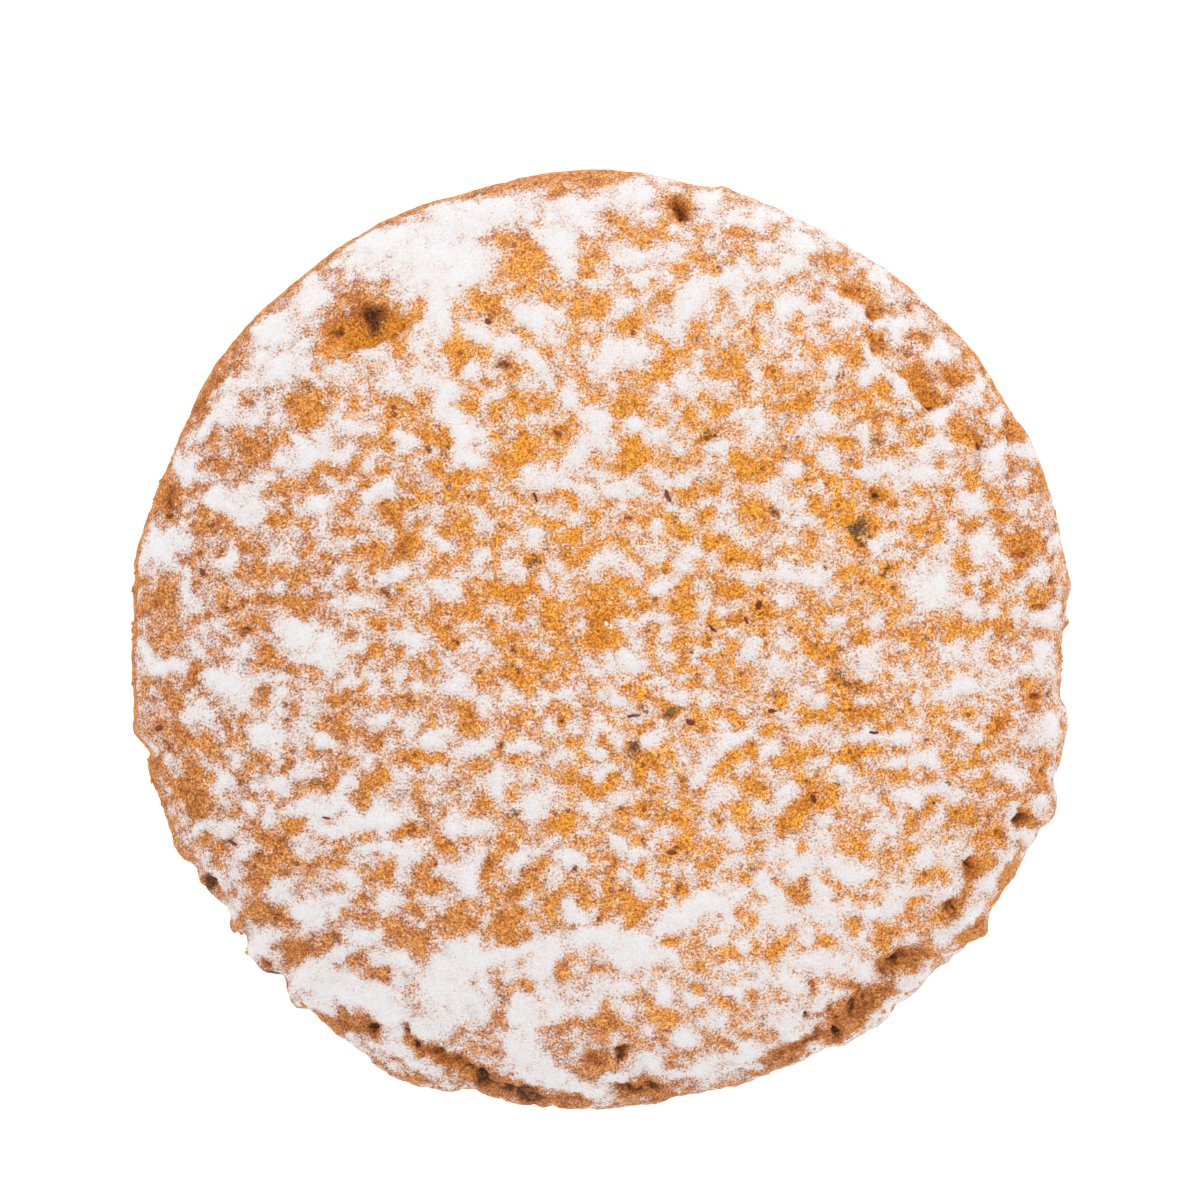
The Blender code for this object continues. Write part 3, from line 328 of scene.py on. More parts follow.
# Where the crust is left bare, by strength: X, Y, half length, half width and turn of each.
BARE_DRIFTS = {
    1.0: (
        (-4.6, 45, 7, 0.9, 5), (-23.2, 30.8, 4.4, 1.7, 10), (-13.4, 33, 2.4, 0.9, 75),
        (22.8, 37, 1.8, 0.9, -20), (24.3, 27.6, 0.9, 0.6, -90), (25.4, 34.4, 1.9, 1.1, -50),
        (27.4, 29.2, 1.5, 1, -40), (31.4, 25.6, 2.2, 1.4, -55), (-38, 24.8, 4.6, 0.6, 55),
        (-34.6, 18.2, 2.6, 1.8, 10), (-31.8, 18.6, 1.3, 0.7, 30), (-15, 19.8, 1.2, 0.7, -80),
        (-13.2, 16.2, 1.5, 0.9, 0), (-8.4, 18.4, 3, 1.2, 15), (11, 19.4, 1.2, 0.8, 0),
        (36.4, 20.4, 1.8, 1.3, -30), (40.3, 20, 1.2, 0.7, -90), (-37.6, 11.3, 2.4, 1.2, 0),
        (-18.6, 9.4, 1.9, 0.8, 10), (-8, 5.4, 1.5, 1, 10), (0.8, 5.2, 2, 0.8, -10), (8, 2.9, 2.2, 1.4, 0),
        (12.7, 5.5, 1.3, 0.9, -20), (13.4, 8.1, 2, 0.8, 0), (22.8, 12.6, 2.8, 1.3, 0),
        (24.1, 6.6, 1.2, 0.8, 0), (31, 11, 1.2, 0.8, -90), (35.3, 7.7, 1.5, 0.8, -10),
        (36.6, 11.3, 1.3, 0.8, -90), (41.6, 9.6, 2.4, 1.5, 70), (-39.3, -3.7, 1.5, 0.9, -75),
        (-37.9, -6.6, 1, 0.6, 0), (-35.2, -9, 1.6, 0.7, 75), (-30.9, -1.3, 1.4, 0.8, -55),
        (-30.2, -3.1, 1.1, 0.8, -90), (-9.6, -1.2, 1.2, 0.6, -90), (3.4, -9.1, 1.3, 0.8, 20),
        (6.9, -7.2, 1.6, 0.8, 15), (8.8, -2.2, 1.3, 0.7, -60), (16.9, 0.9, 1, 0.7, 0),
        (21.4, -7.5, 1.8, 0.7, 0), (21.8, -1, 2, 1.2, 0), (23.8, -6.8, 1.5, 0.9, -10),
        (26.2, -7.6, 1.5, 0.9, 10), (30.2, 0.9, 1.7, 0.9, 20), (35.3, -7, 1.2, 0.7, -15),
        (-39.4, -14, 2.4, 1.2, -80), (-37.8, -20.2, 2.4, 0.7, -15), (-37.5, -22, 1.8, 0.7, -45),
        (-33.2, -23, 2.2, 1.4, -90), (-33.2, -14.9, 1.2, 0.7, 0), (-30.1, -18.6, 1.3, 0.8, -90),
        (-17, -11.8, 2.2, 0.8, 0), (-15.5, -20.4, 1.5, 0.9, 0), (-11.4, -12.3, 1.6, 0.8, 0),
        (-10.6, -22.6, 2.2, 0.8, -90), (-8.4, -12.6, 1.3, 0.8, 0), (-3.4, -17.8, 2, 1, 0),
        (-0.9, -15, 1.1, 0.7, -25), (0.8, -21.4, 1.3, 0.8, -90), (6, -12.2, 2, 1.2, -20),
        (24.8, -21, 1.4, 0.7, 0), (35.5, -17.9, 1.7, 0.8, 20), (36.2, -22.8, 1.3, 0.9, 75),
        (41.4, -17.4, 1.1, 0.8, 0), (-32.4, -27, 2.6, 1.1, 0), (-29.4, -30.4, 2.8, 1, -10),
        (-27.9, -29.5, 1.8, 0.7, 0), (-22.6, -32.4, 2.4, 1, -35), (-22.6, -27.7, 1.1, 0.8, -25),
        (-20.7, -33.4, 1.4, 0.7, -90), (-18.4, -29.6, 2.8, 1.2, -20), (-10.4, -29.2, 1.2, 0.7, 0),
        (-9, -27, 3.4, 1.9, 20), (-8.3, -29.6, 1.4, 0.7, 5), (-8, -34, 2.2, 0.5, 10),
        (-3.4, -32.6, 1.8, 1.2, 70), (22, -30.2, 1.8, 0.7, 10), (28, -34.6, 1.4, 0.8, 45),
        (30.2, -31.4, 2.6, 1.2, 20), (35.9, -29.8, 1.3, 0.8, 35), (37, -29, 1.6, 0.7, 30),
        (39.6, -23.7, 1.3, 0.7, 60), (-24.4, -37.4, 2.6, 0.8, -15), (-21.6, -40.8, 1.3, 0.8, -50),
        (-17.3, -43.1, 1.4, 0.7, 0), (-13.4, -42, 5.6, 1, -25), (-10, -37.4, 1.8, 0.6, -90),
        (-7.4, -44.4, 3.6, 0.8, -15), (-0.4, -41.6, 1.4, 0.7, -20), (2.4, -41, 1.5, 0.6, 10),
        (4.6, -44.4, 2.8, 0.9, 0), (17, -41.8, 1.2, 0.8, 30), (17, -42, 0.8, 0.5, 30),
        (19.2, -40.7, 2.2, 0.7, 30), (20.4, -39.8, 4.2, 0.6, 25), (23.4, -39, 2.3, 0.9, 20),
        (25, -36.4, 3.4, 1.3, 35),
    ),
    0.8: (
        (-12, 43.8, 1.8, 0.6, 5), (-31, 33.2, 2, 0.5, 45), (-23.8, 34, 2, 1.3, 0),
        (-23, 32.6, 1.4, 0.6, 35), (-18, 32.8, 1.6, 0.6, 20), (-11.6, 33.4, 1.8, 1.2, 0),
        (-1.2, 36.8, 1.4, 0.8, -90), (12.3, 33.3, 0.9, 0.6, -70), (-38.6, 14.8, 1, 0.6, 20),
        (3, 22.9, 1.3, 0.6, 25), (8.2, 14.2, 1.2, 0.7, 0), (11.5, 22.6, 1.6, 0.6, 10),
        (17, 22.6, 1, 0.5, 10), (20.9, 17.1, 1.1, 0.7, -80), (-23, 12, 1.2, 0.6, 0),
        (-13.8, 3.2, 1.6, 0.7, 20), (-4, 11.7, 1.3, 0.6, 20), (0.5, 4, 1.5, 0.7, 10),
        (21.1, 10, 1.1, 0.8, -90), (23.8, 8.6, 1.6, 0.8, 0), (27.3, 5.9, 1.5, 0.9, -20),
        (-40, -9.6, 2.6, 0.8, -10), (-26, -8, 2, 1.4, -70), (-8.4, -3.6, 2, 1, -20),
        (1.2, 0.2, 1.3, 0.9, 0), (9.3, -9.2, 1.5, 0.8, 80), (10.4, 0.5, 1, 0.7, 30),
        (23.8, -4.2, 1.6, 1, -20), (39, -8.4, 1.5, 0.9, -80), (40.8, -0.4, 0.8, 0.5, 0),
        (-43, -12.3, 1.1, 0.8, -90), (-40, -20.3, 1.4, 0.7, -10), (-39.8, -16.6, 1.3, 0.5, -40),
        (-34, -12.4, 2.2, 0.8, -40), (-22.4, -14.4, 1, 0.7, -90), (-21, -13.7, 1.7, 0.6, 30),
        (-9.7, -11.2, 1.1, 0.8, -90), (24.5, -11.7, 1.6, 0.9, -20), (28.6, -17, 1, 0.7, -90),
        (35.2, -12.5, 1.3, 0.9, 20), (-29.3, -24.7, 1.2, 0.8, 0), (-16.4, -24.4, 2.6, 1.2, -90),
        (-12.8, -28.2, 2.8, 0.8, 30), (0.6, -26.4, 2.6, 1.2, 0), (13, -31, 1.4, 0.8, 0),
        (34.6, -26.4, 1.3, 0.6, 30), (40.2, -24.6, 2.4, 0.5, 60), (-12.8, -43.2, 1.8, 0.5, -35),
        (-11.4, -40.5, 1.2, 0.6, 0), (0.6, -38.4, 3, 1.4, 0), (4.9, -35.1, 1, 0.7, -90),
        (5, -45.1, 2.4, 0.7, 10), (5.6, -37.4, 2, 1.2, 20), (7.2, -41.6, 1.4, 1, 70),
        (11.3, -35.8, 1.4, 0.7, -15),
    ),
    0.6: (
        (-20, 40.8, 1.2, 0.5, 25), (-18.4, 41.4, 2.2, 0.6, 20), (-9, 39.4, 1.8, 1, 0),
        (-6, 41.6, 1.3, 0.9, 0), (0.5, 41, 1.4, 0.8, 30), (3, 40.2, 3, 0.8, -10),
        (14.8, 37.6, 1.2, 0.5, -10), (15.5, 39.4, 2, 0.6, 5), (-34.8, 27.6, 1.2, 0.8, 10),
        (-34.2, 29.6, 1.4, 0.8, 60), (-27.8, 26.7, 0.9, 0.5, -60), (-19.5, 28.6, 1.6, 0.4, -10),
        (-19, 32.3, 0.9, 0.4, 35), (-13.6, 28, 2, 0.9, -90), (-9.9, 34.4, 1.2, 0.8, -70),
        (-1.6, 33.4, 2.6, 1.6, 0), (2.6, 31, 2.6, 1, 30), (6.5, 33.4, 1.5, 0.7, 15),
        (6.8, 28.4, 1.2, 0.4, 5), (7, 36.6, 1.4, 0.4, 10), (9, 30.4, 1.4, 0.9, 0), (16, 31, 1.4, 1, 0),
        (16.7, 32.8, 1, 0.6, -30), (17, 35.2, 1.8, 0.9, 0), (25.5, 35.1, 1.1, 0.6, 15),
        (27.3, 25.7, 1.1, 0.4, 5), (31.2, 28, 1.5, 0.5, -20), (32.3, 29.9, 0.8, 0.5, 30),
        (33, 27.4, 0.8, 0.4, -20), (-37, 16.6, 1, 0.5, -20), (-31, 15.2, 1.1, 0.5, -15),
        (-26, 16.4, 3, 0.7, 10), (-18.4, 22.4, 2.6, 1.8, 30), (-17.3, 14.2, 1.3, 0.5, -20),
        (-16, 16.5, 1, 0.5, 0), (-11.4, 16.8, 1.3, 0.6, 0), (-8.5, 22.4, 3.6, 0.9, 0),
        (-5.5, 22.9, 1.1, 0.5, 40), (-4.5, 19.5, 1.3, 0.6, 0), (-2, 21.3, 1.3, 0.7, 0),
        (1.4, 22.3, 0.9, 0.4, 20), (19, 23.2, 1.2, 0.5, 0), (29.2, 21.8, 1.2, 0.5, 0),
        (-42.4, 11.5, 0.9, 0.6, 0), (-40.6, 8.4, 0.9, 0.6, 0), (-38.3, 6.8, 1.6, 0.5, -90),
        (-35.2, 9, 1, 0.7, -20), (-34, 4.4, 2.8, 1.2, -10), (-31.8, 7.4, 1, 0.5, 0),
        (-28.6, 3.6, 3, 0.9, -10), (-25, 13, 1.1, 0.6, 20), (-21.8, 8.4, 2, 1.2, 0),
        (-16.5, 1.4, 1.3, 0.7, 20), (-9.1, 8.5, 1.2, 0.6, 0), (-1.3, 3.5, 1.1, 0.5, 0),
        (3.2, 8.6, 1.3, 0.8, 0), (6.2, 7, 1.6, 0.6, 0), (8.6, 10.7, 1.3, 0.8, 0),
        (15.5, 2.7, 1.4, 0.8, 0), (32, 9, 2, 1, 0), (33, 11.2, 1.6, 1, 0), (36.8, 2, 1, 0.5, 0),
        (39.3, 4, 1.2, 0.6, -90), (40.4, 12.3, 1.6, 0.6, -5), (42.6, 11.1, 1.2, 0.7, 70),
        (-44.8, 0.2, 1.2, 0.8, -90), (-43.2, -0.2, 0.9, 0.5, 0), (-43, -9, 1.4, 0.7, -90),
        (-32.7, -6.6, 1.3, 0.6, -90), (-29.3, -6.9, 1.1, 0.6, -90), (-21.8, -1.1, 1.6, 0.6, 20),
        (-19, -4.2, 0.9, 0.6, 0), (-14, -7, 1.8, 1, 0), (-9.8, -9.1, 1.2, 0.7, -90),
        (-8.1, -5.3, 0.9, 0.4, -80), (-3.4, -7.8, 1.8, 1, 0), (-3.3, -2.6, 1.6, 0.8, 0),
        (0.6, -9.7, 0.8, 0.5, 0), (2.6, -7.1, 1.4, 0.6, 0), (4.6, -3.8, 2, 0.8, 10),
        (7.6, -0.8, 1, 0.7, -90), (11, -7.4, 1.6, 0.5, 0), (20.1, -8.4, 0.9, 0.6, 0),
        (26, -0.3, 0.9, 0.6, 0), (27.3, -6, 1.2, 0.8, 0), (27.8, -8.6, 2.4, 0.6, 0),
        (34.7, -10.2, 0.8, 0.5, 0), (36.8, -5.2, 1.2, 0.4, 0), (38.8, -5.8, 1.3, 0.4, 0),
        (-35.7, -13, 1.6, 0.6, -25), (-29.5, -15.6, 2, 0.6, 0), (-27.4, -14, 2.2, 0.8, 10),
        (-2.6, -12.8, 1.8, 1.2, 0), (2.9, -11, 1.4, 0.6, -90), (3.6, -16.8, 1.6, 1, 40),
        (9.6, -21.8, 2, 0.8, -15), (11.4, -18, 2.2, 1.4, 0), (12.4, -12.2, 1.8, 0.9, 0),
        (17.3, -12.2, 1.4, 0.6, 0), (19, -18.2, 1.6, 0.7, 75), (20.8, -13.8, 1.4, 0.9, 0),
        (22.6, -15.3, 1.1, 0.7, -90), (25.4, -19.2, 1.8, 0.7, 0), (26.2, -11, 0.7, 0.5, 0),
        (29.9, -14, 1.2, 0.5, 0), (38.1, -12.8, 1, 0.7, -90), (43.5, -18.3, 1.2, 0.6, 30),
        (-36, -27, 1.2, 0.5, -90), (-33, -24.9, 1.1, 0.6, 20), (-30.5, -33.6, 1.2, 0.5, -65),
        (-25.6, -29.1, 1.2, 0.4, 10), (-15.5, -30.4, 1.6, 0.8, 25), (-13.4, -26.7, 1.2, 0.6, 25),
        (-11.2, -24.2, 1.2, 0.8, 75), (-7.3, -23.5, 1.4, 0.7, 0), (-5, -26.4, 2.4, 1.4, 0),
        (-0.6, -34.4, 2.4, 0.9, -20), (0.7, -32, 1.5, 0.6, 10), (6.8, -28.9, 1.4, 0.6, -35),
        (7, -33, 1.8, 0.6, -20), (7.8, -23.5, 1.2, 0.6, 0), (7.8, -24.7, 1.3, 0.7, -75),
        (13.5, -24.2, 1.6, 0.6, 25), (14, -23.6, 1.2, 0.6, 0), (17, -31.2, 1.2, 0.7, 80),
        (24, -24.4, 2, 0.8, -20), (24.6, -27.8, 1.1, 0.5, 0), (24.8, -33.6, 1.2, 0.6, 20),
        (25.3, -31.5, 1, 0.6, 0), (29.2, -27.9, 1.2, 0.7, 55), (33.5, -31.9, 1, 0.5, 30),
        (37.3, -29.2, 1, 0.6, 30), (-19.5, -42.2, 1.8, 0.6, -30), (-16.3, -41.3, 1.2, 0.4, -45),
        (-9.6, -35.1, 0.9, 0.5, -65), (4.3, -40, 1, 0.5, 15), (6.5, -36.3, 1.2, 0.6, -10),
        (12.3, -41.7, 1.4, 0.6, 0), (12.6, -38.6, 2.4, 0.8, 0), (27.6, -35.4, 1.4, 0.8, 15),
    ),
}

# Round bare spots, by strength: X, Y and radius of each.
BARE_DABS = {
    1.0: (
        (-7.6, 37.6, 2.2), (7, 42.6, 1.5), (-22.3, 33, 0.8), (17.2, 26.3, 0.9), (27, 32, 1),
        (34.8, 26.2, 1), (-42, 14.4, 1.7), (-29, 22.6, 2.1), (-12.6, 23, 0.8), (-2.7, 13.6, 1.2),
        (-42.6, 4.4, 1.9), (-6.6, 8.2, 0.8), (0.2, 1.6, 1.7), (11.5, 9.9, 1), (15.4, 12.6, 1.4),
        (39, 12.6, 1.3), (-41.4, 0.8, 1.3), (-29.4, -9.2, 1), (-17, -8.2, 0.8), (-12.5, -3.9, 1),
        (-9.8, -0.5, 1), (18.2, -4.9, 1.1), (25.2, -5.4, 0.8), (25.8, 0.5, 1), (34.3, -3.6, 0.7),
        (42.6, -5.8, 1.2), (-41.1, -14.9, 1), (-30.8, -20.8, 1.2), (-23, -16.2, 0.9), (-5.1, -16.8, 0.7),
        (3.6, -13.3, 0.7), (4, -22.2, 0.9), (7.4, -18.4, 2.2), (13.8, -16.8, 1.1), (15, -15.4, 1.1),
        (39.2, -18.8, 1), (42.9, -15, 0.7), (-36.5, -24.9, 0.9), (-15, -23.5, 0.8), (0.5, -24, 0.6),
        (0.8, -24.1, 0.7), (3.6, -27.4, 1.3), (27.7, -29.3, 0.9), (40.2, -23.3, 1), (-22.3, -39.4, 1),
        (-17.5, -36.9, 1.1), (-4.4, -39.6, 1.5),
    ),
    0.8: (
        (-26.9, 28.4, 1.3), (-8, 27.1, 0.9), (6, 26.4, 1.3), (11.6, 36.7, 0.7), (30.2, 32.4, 0.9),
        (-40.6, 15, 0.8), (3, 18, 1.7), (14.6, 17.1, 1), (26.6, 24, 1.1), (27.2, 14.2, 1),
        (-23.5, 2.7, 0.8), (-11.2, 5.3, 1.1), (-4.4, 2.8, 1.5), (11, 11.9, 0.9), (12, 2.2, 0.9),
        (16, 3.2, 1.5), (24.8, 10.3, 0.9), (29.2, 4.8, 0.9), (40, 1.2, 0.9), (44.4, 8.3, 0.8),
        (1.1, -0.9, 1), (14, -5, 0.9), (34.4, 0.7, 1), (-34.2, -18.4, 1.3), (-28, -11.1, 0.7),
        (-18.5, -18.8, 1), (-18.4, -14.6, 0.9), (-11.8, -15.8, 1.2), (-6.1, -14.7, 0.9),
        (19.6, -16.4, 1.1), (38, -22.2, 1.1), (6, -26.2, 0.8), (18.4, -24.6, 1.4), (30, -26.6, 0.9),
        (32.3, -23.1, 0.9), (-23.5, -36.2, 0.8), (16.6, -39, 1),
    ),
    0.6: (
        (-31.2, 28.2, 0.8), (-13.9, 30.4, 0.5), (-7.3, 30.4, 1), (3.5, 25.7, 0.9), (11.4, 27.2, 0.7),
        (13.7, 27.1, 0.9), (-36.6, 21.2, 0.6), (-26, 19.4, 0.6), (-19.3, 17.3, 1.1), (-12.2, 14, 0.8),
        (-10.8, 21.5, 0.8), (-6.7, 14.4, 1), (4.1, 14.9, 0.8), (20.7, 23.2, 0.7), (22.8, 22.7, 0.8),
        (32.6, 24.6, 0.8), (37.2, 18, 1), (-38.2, 3.6, 1), (-35.5, 7, 0.8), (-33.4, 8.4, 1),
        (-31.6, 12, 1.3), (-29.7, 6.7, 0.7), (-26.2, 10.8, 0.6), (-22.6, 10.8, 0.8), (-21.2, 1.3, 0.8),
        (-18.5, 2.2, 0.9), (-12.8, 11.4, 0.7), (-5.6, 1, 0.9), (-3.2, 1, 1), (-2.8, 9.2, 1.6),
        (-1.6, 5.8, 0.7), (14, 7.4, 1.2), (22.2, 3.3, 0.7), (22.4, 3.2, 0.7), (25, 4.8, 0.9),
        (27.8, 3, 0.9), (31.6, 2.2, 0.8), (41.4, 7.3, 0.7), (42.5, 1, 0.9), (43, 4, 0.9),
        (-45.5, -0.2, 0.7), (-43.4, -0.5, 0.5), (-38.3, -2, 1.1), (-33, -1.8, 1.4), (-21.7, -10.2, 1),
        (-19.8, -6, 1.3), (-7.6, -2.5, 0.7), (-4.9, -2, 0.7), (-3, -10.3, 0.5), (-1.6, -3.4, 0.7),
        (-1.6, -6.6, 0.9), (0.4, -5.1, 0.7), (12.8, -1.6, 1), (16.3, -9.2, 0.8), (16.5, -4.8, 0.6),
        (22.4, -6.6, 0.8), (-31, -13, 0.7), (-25, -12.2, 0.7), (-25, -21, 0.9), (-12.2, -16.7, 0.7),
        (15.9, -17.6, 0.6), (21.8, -15.3, 1.2), (32.3, -17.3, 0.8), (36.6, -19, 0.7), (-31.3, -27.7, 0.9),
        (-23.7, -25.4, 0.7), (-19.6, -24, 1.8), (4.8, -27.4, 0.7), (21.2, -34.4, 0.7), (22.2, -30.7, 0.7),
        (22.9, -25.3, 0.7), (37.9, -28.2, 0.7), (38.3, -26.5, 0.9), (8.7, -42.3, 0.8), (23.5, -35.4, 0.7),
    ),
}

# Golden places, where chopped candied peel shows through: X, Y, half length, half width, turn, strength.
GOLDEN = (
    (22.8, 12.4, 2.6, 1.4, 0, 1), (23.6, 8.8, 1.8, 0.9, 0, 0.7), (15.4, 12.6, 1.3, 1.4, 0, 0.8),
    (13.6, 8, 2, 0.8, 0, 0.9), (8, 3.2, 2, 1.2, 0, 0.5), (0.8, 5.4, 2, 0.8, 0, 0.8),
    (21.2, -7.2, 1.3, 0.7, 0, 1), (34.4, -3.2, 0.7, 0.6, 0, 0.9), (26.6, 24, 1, 1, 0, 0.9),
    (5.4, 23.2, 1.4, 0.8, 0, 0.8), (6.2, 26.4, 1.4, 1, 0, 0.6), (-5.8, -4.2, 0.9, 0.6, 0, 0.8),
    (-3.6, -17.8, 1.8, 1, 0, 0.9), (-0.6, -14.6, 1, 1.2, 0, 0.6), (-13.2, 33, 0.9, 2.6, -15, 1),
    (-13.6, 28.4, 0.8, 2, 0, 0.7), (-26.8, 28.4, 1.3, 1.4, 0, 0.6), (-22.6, 30.4, 4.2, 1.6, 10, 0.9),
    (-18.2, 32.4, 1.4, 0.8, 20, 0.9), (-6.2, 18.2, 1.8, 0.8, 0, 0.8), (3.4, 17.4, 1, 1.8, 0, 0.8),
    (19.2, 4.6, 1, 0.5, 0, 0.9), (-15.8, 8.4, 0.9, 0.5, 0, 0.9), (-8, 8.6, 0.8, 0.5, 0, 0.8),
    (12, -13.4, 0.9, 0.6, 0, 0.9), (19.6, -12.8, 0.9, 0.6, 0, 0.8), (29.6, -5, 0.9, 0.5, 0, 0.8),
    (32.8, -22.8, 0.9, 0.6, 0, 0.9), (30.4, -26, 0.8, 0.6, 0, 0.7), (6.8, -20.2, 1.2, 0.8, 0, 0.8),
    (14, -16, 1, 0.9, 0, 0.8), (-17, -12, 1.8, 0.7, 0, 0.8), (-20.4, -13.2, 0.6, 0.8, 0, 0.8),
    (-5.6, -17, 0.5, 0.5, 0, 0.9), (-8.6, -16, 0.6, 0.6, 0, 0.8), (22.2, -30.4, 1, 0.6, 0, 0.8),
    (3.8, 13, 0.8, 0.6, 0, 0.6), (9.2, 11, 0.7, 0.5, 0, 0.8), (7.4, 44, 1.6, 0.5, -45, 0.6),
)

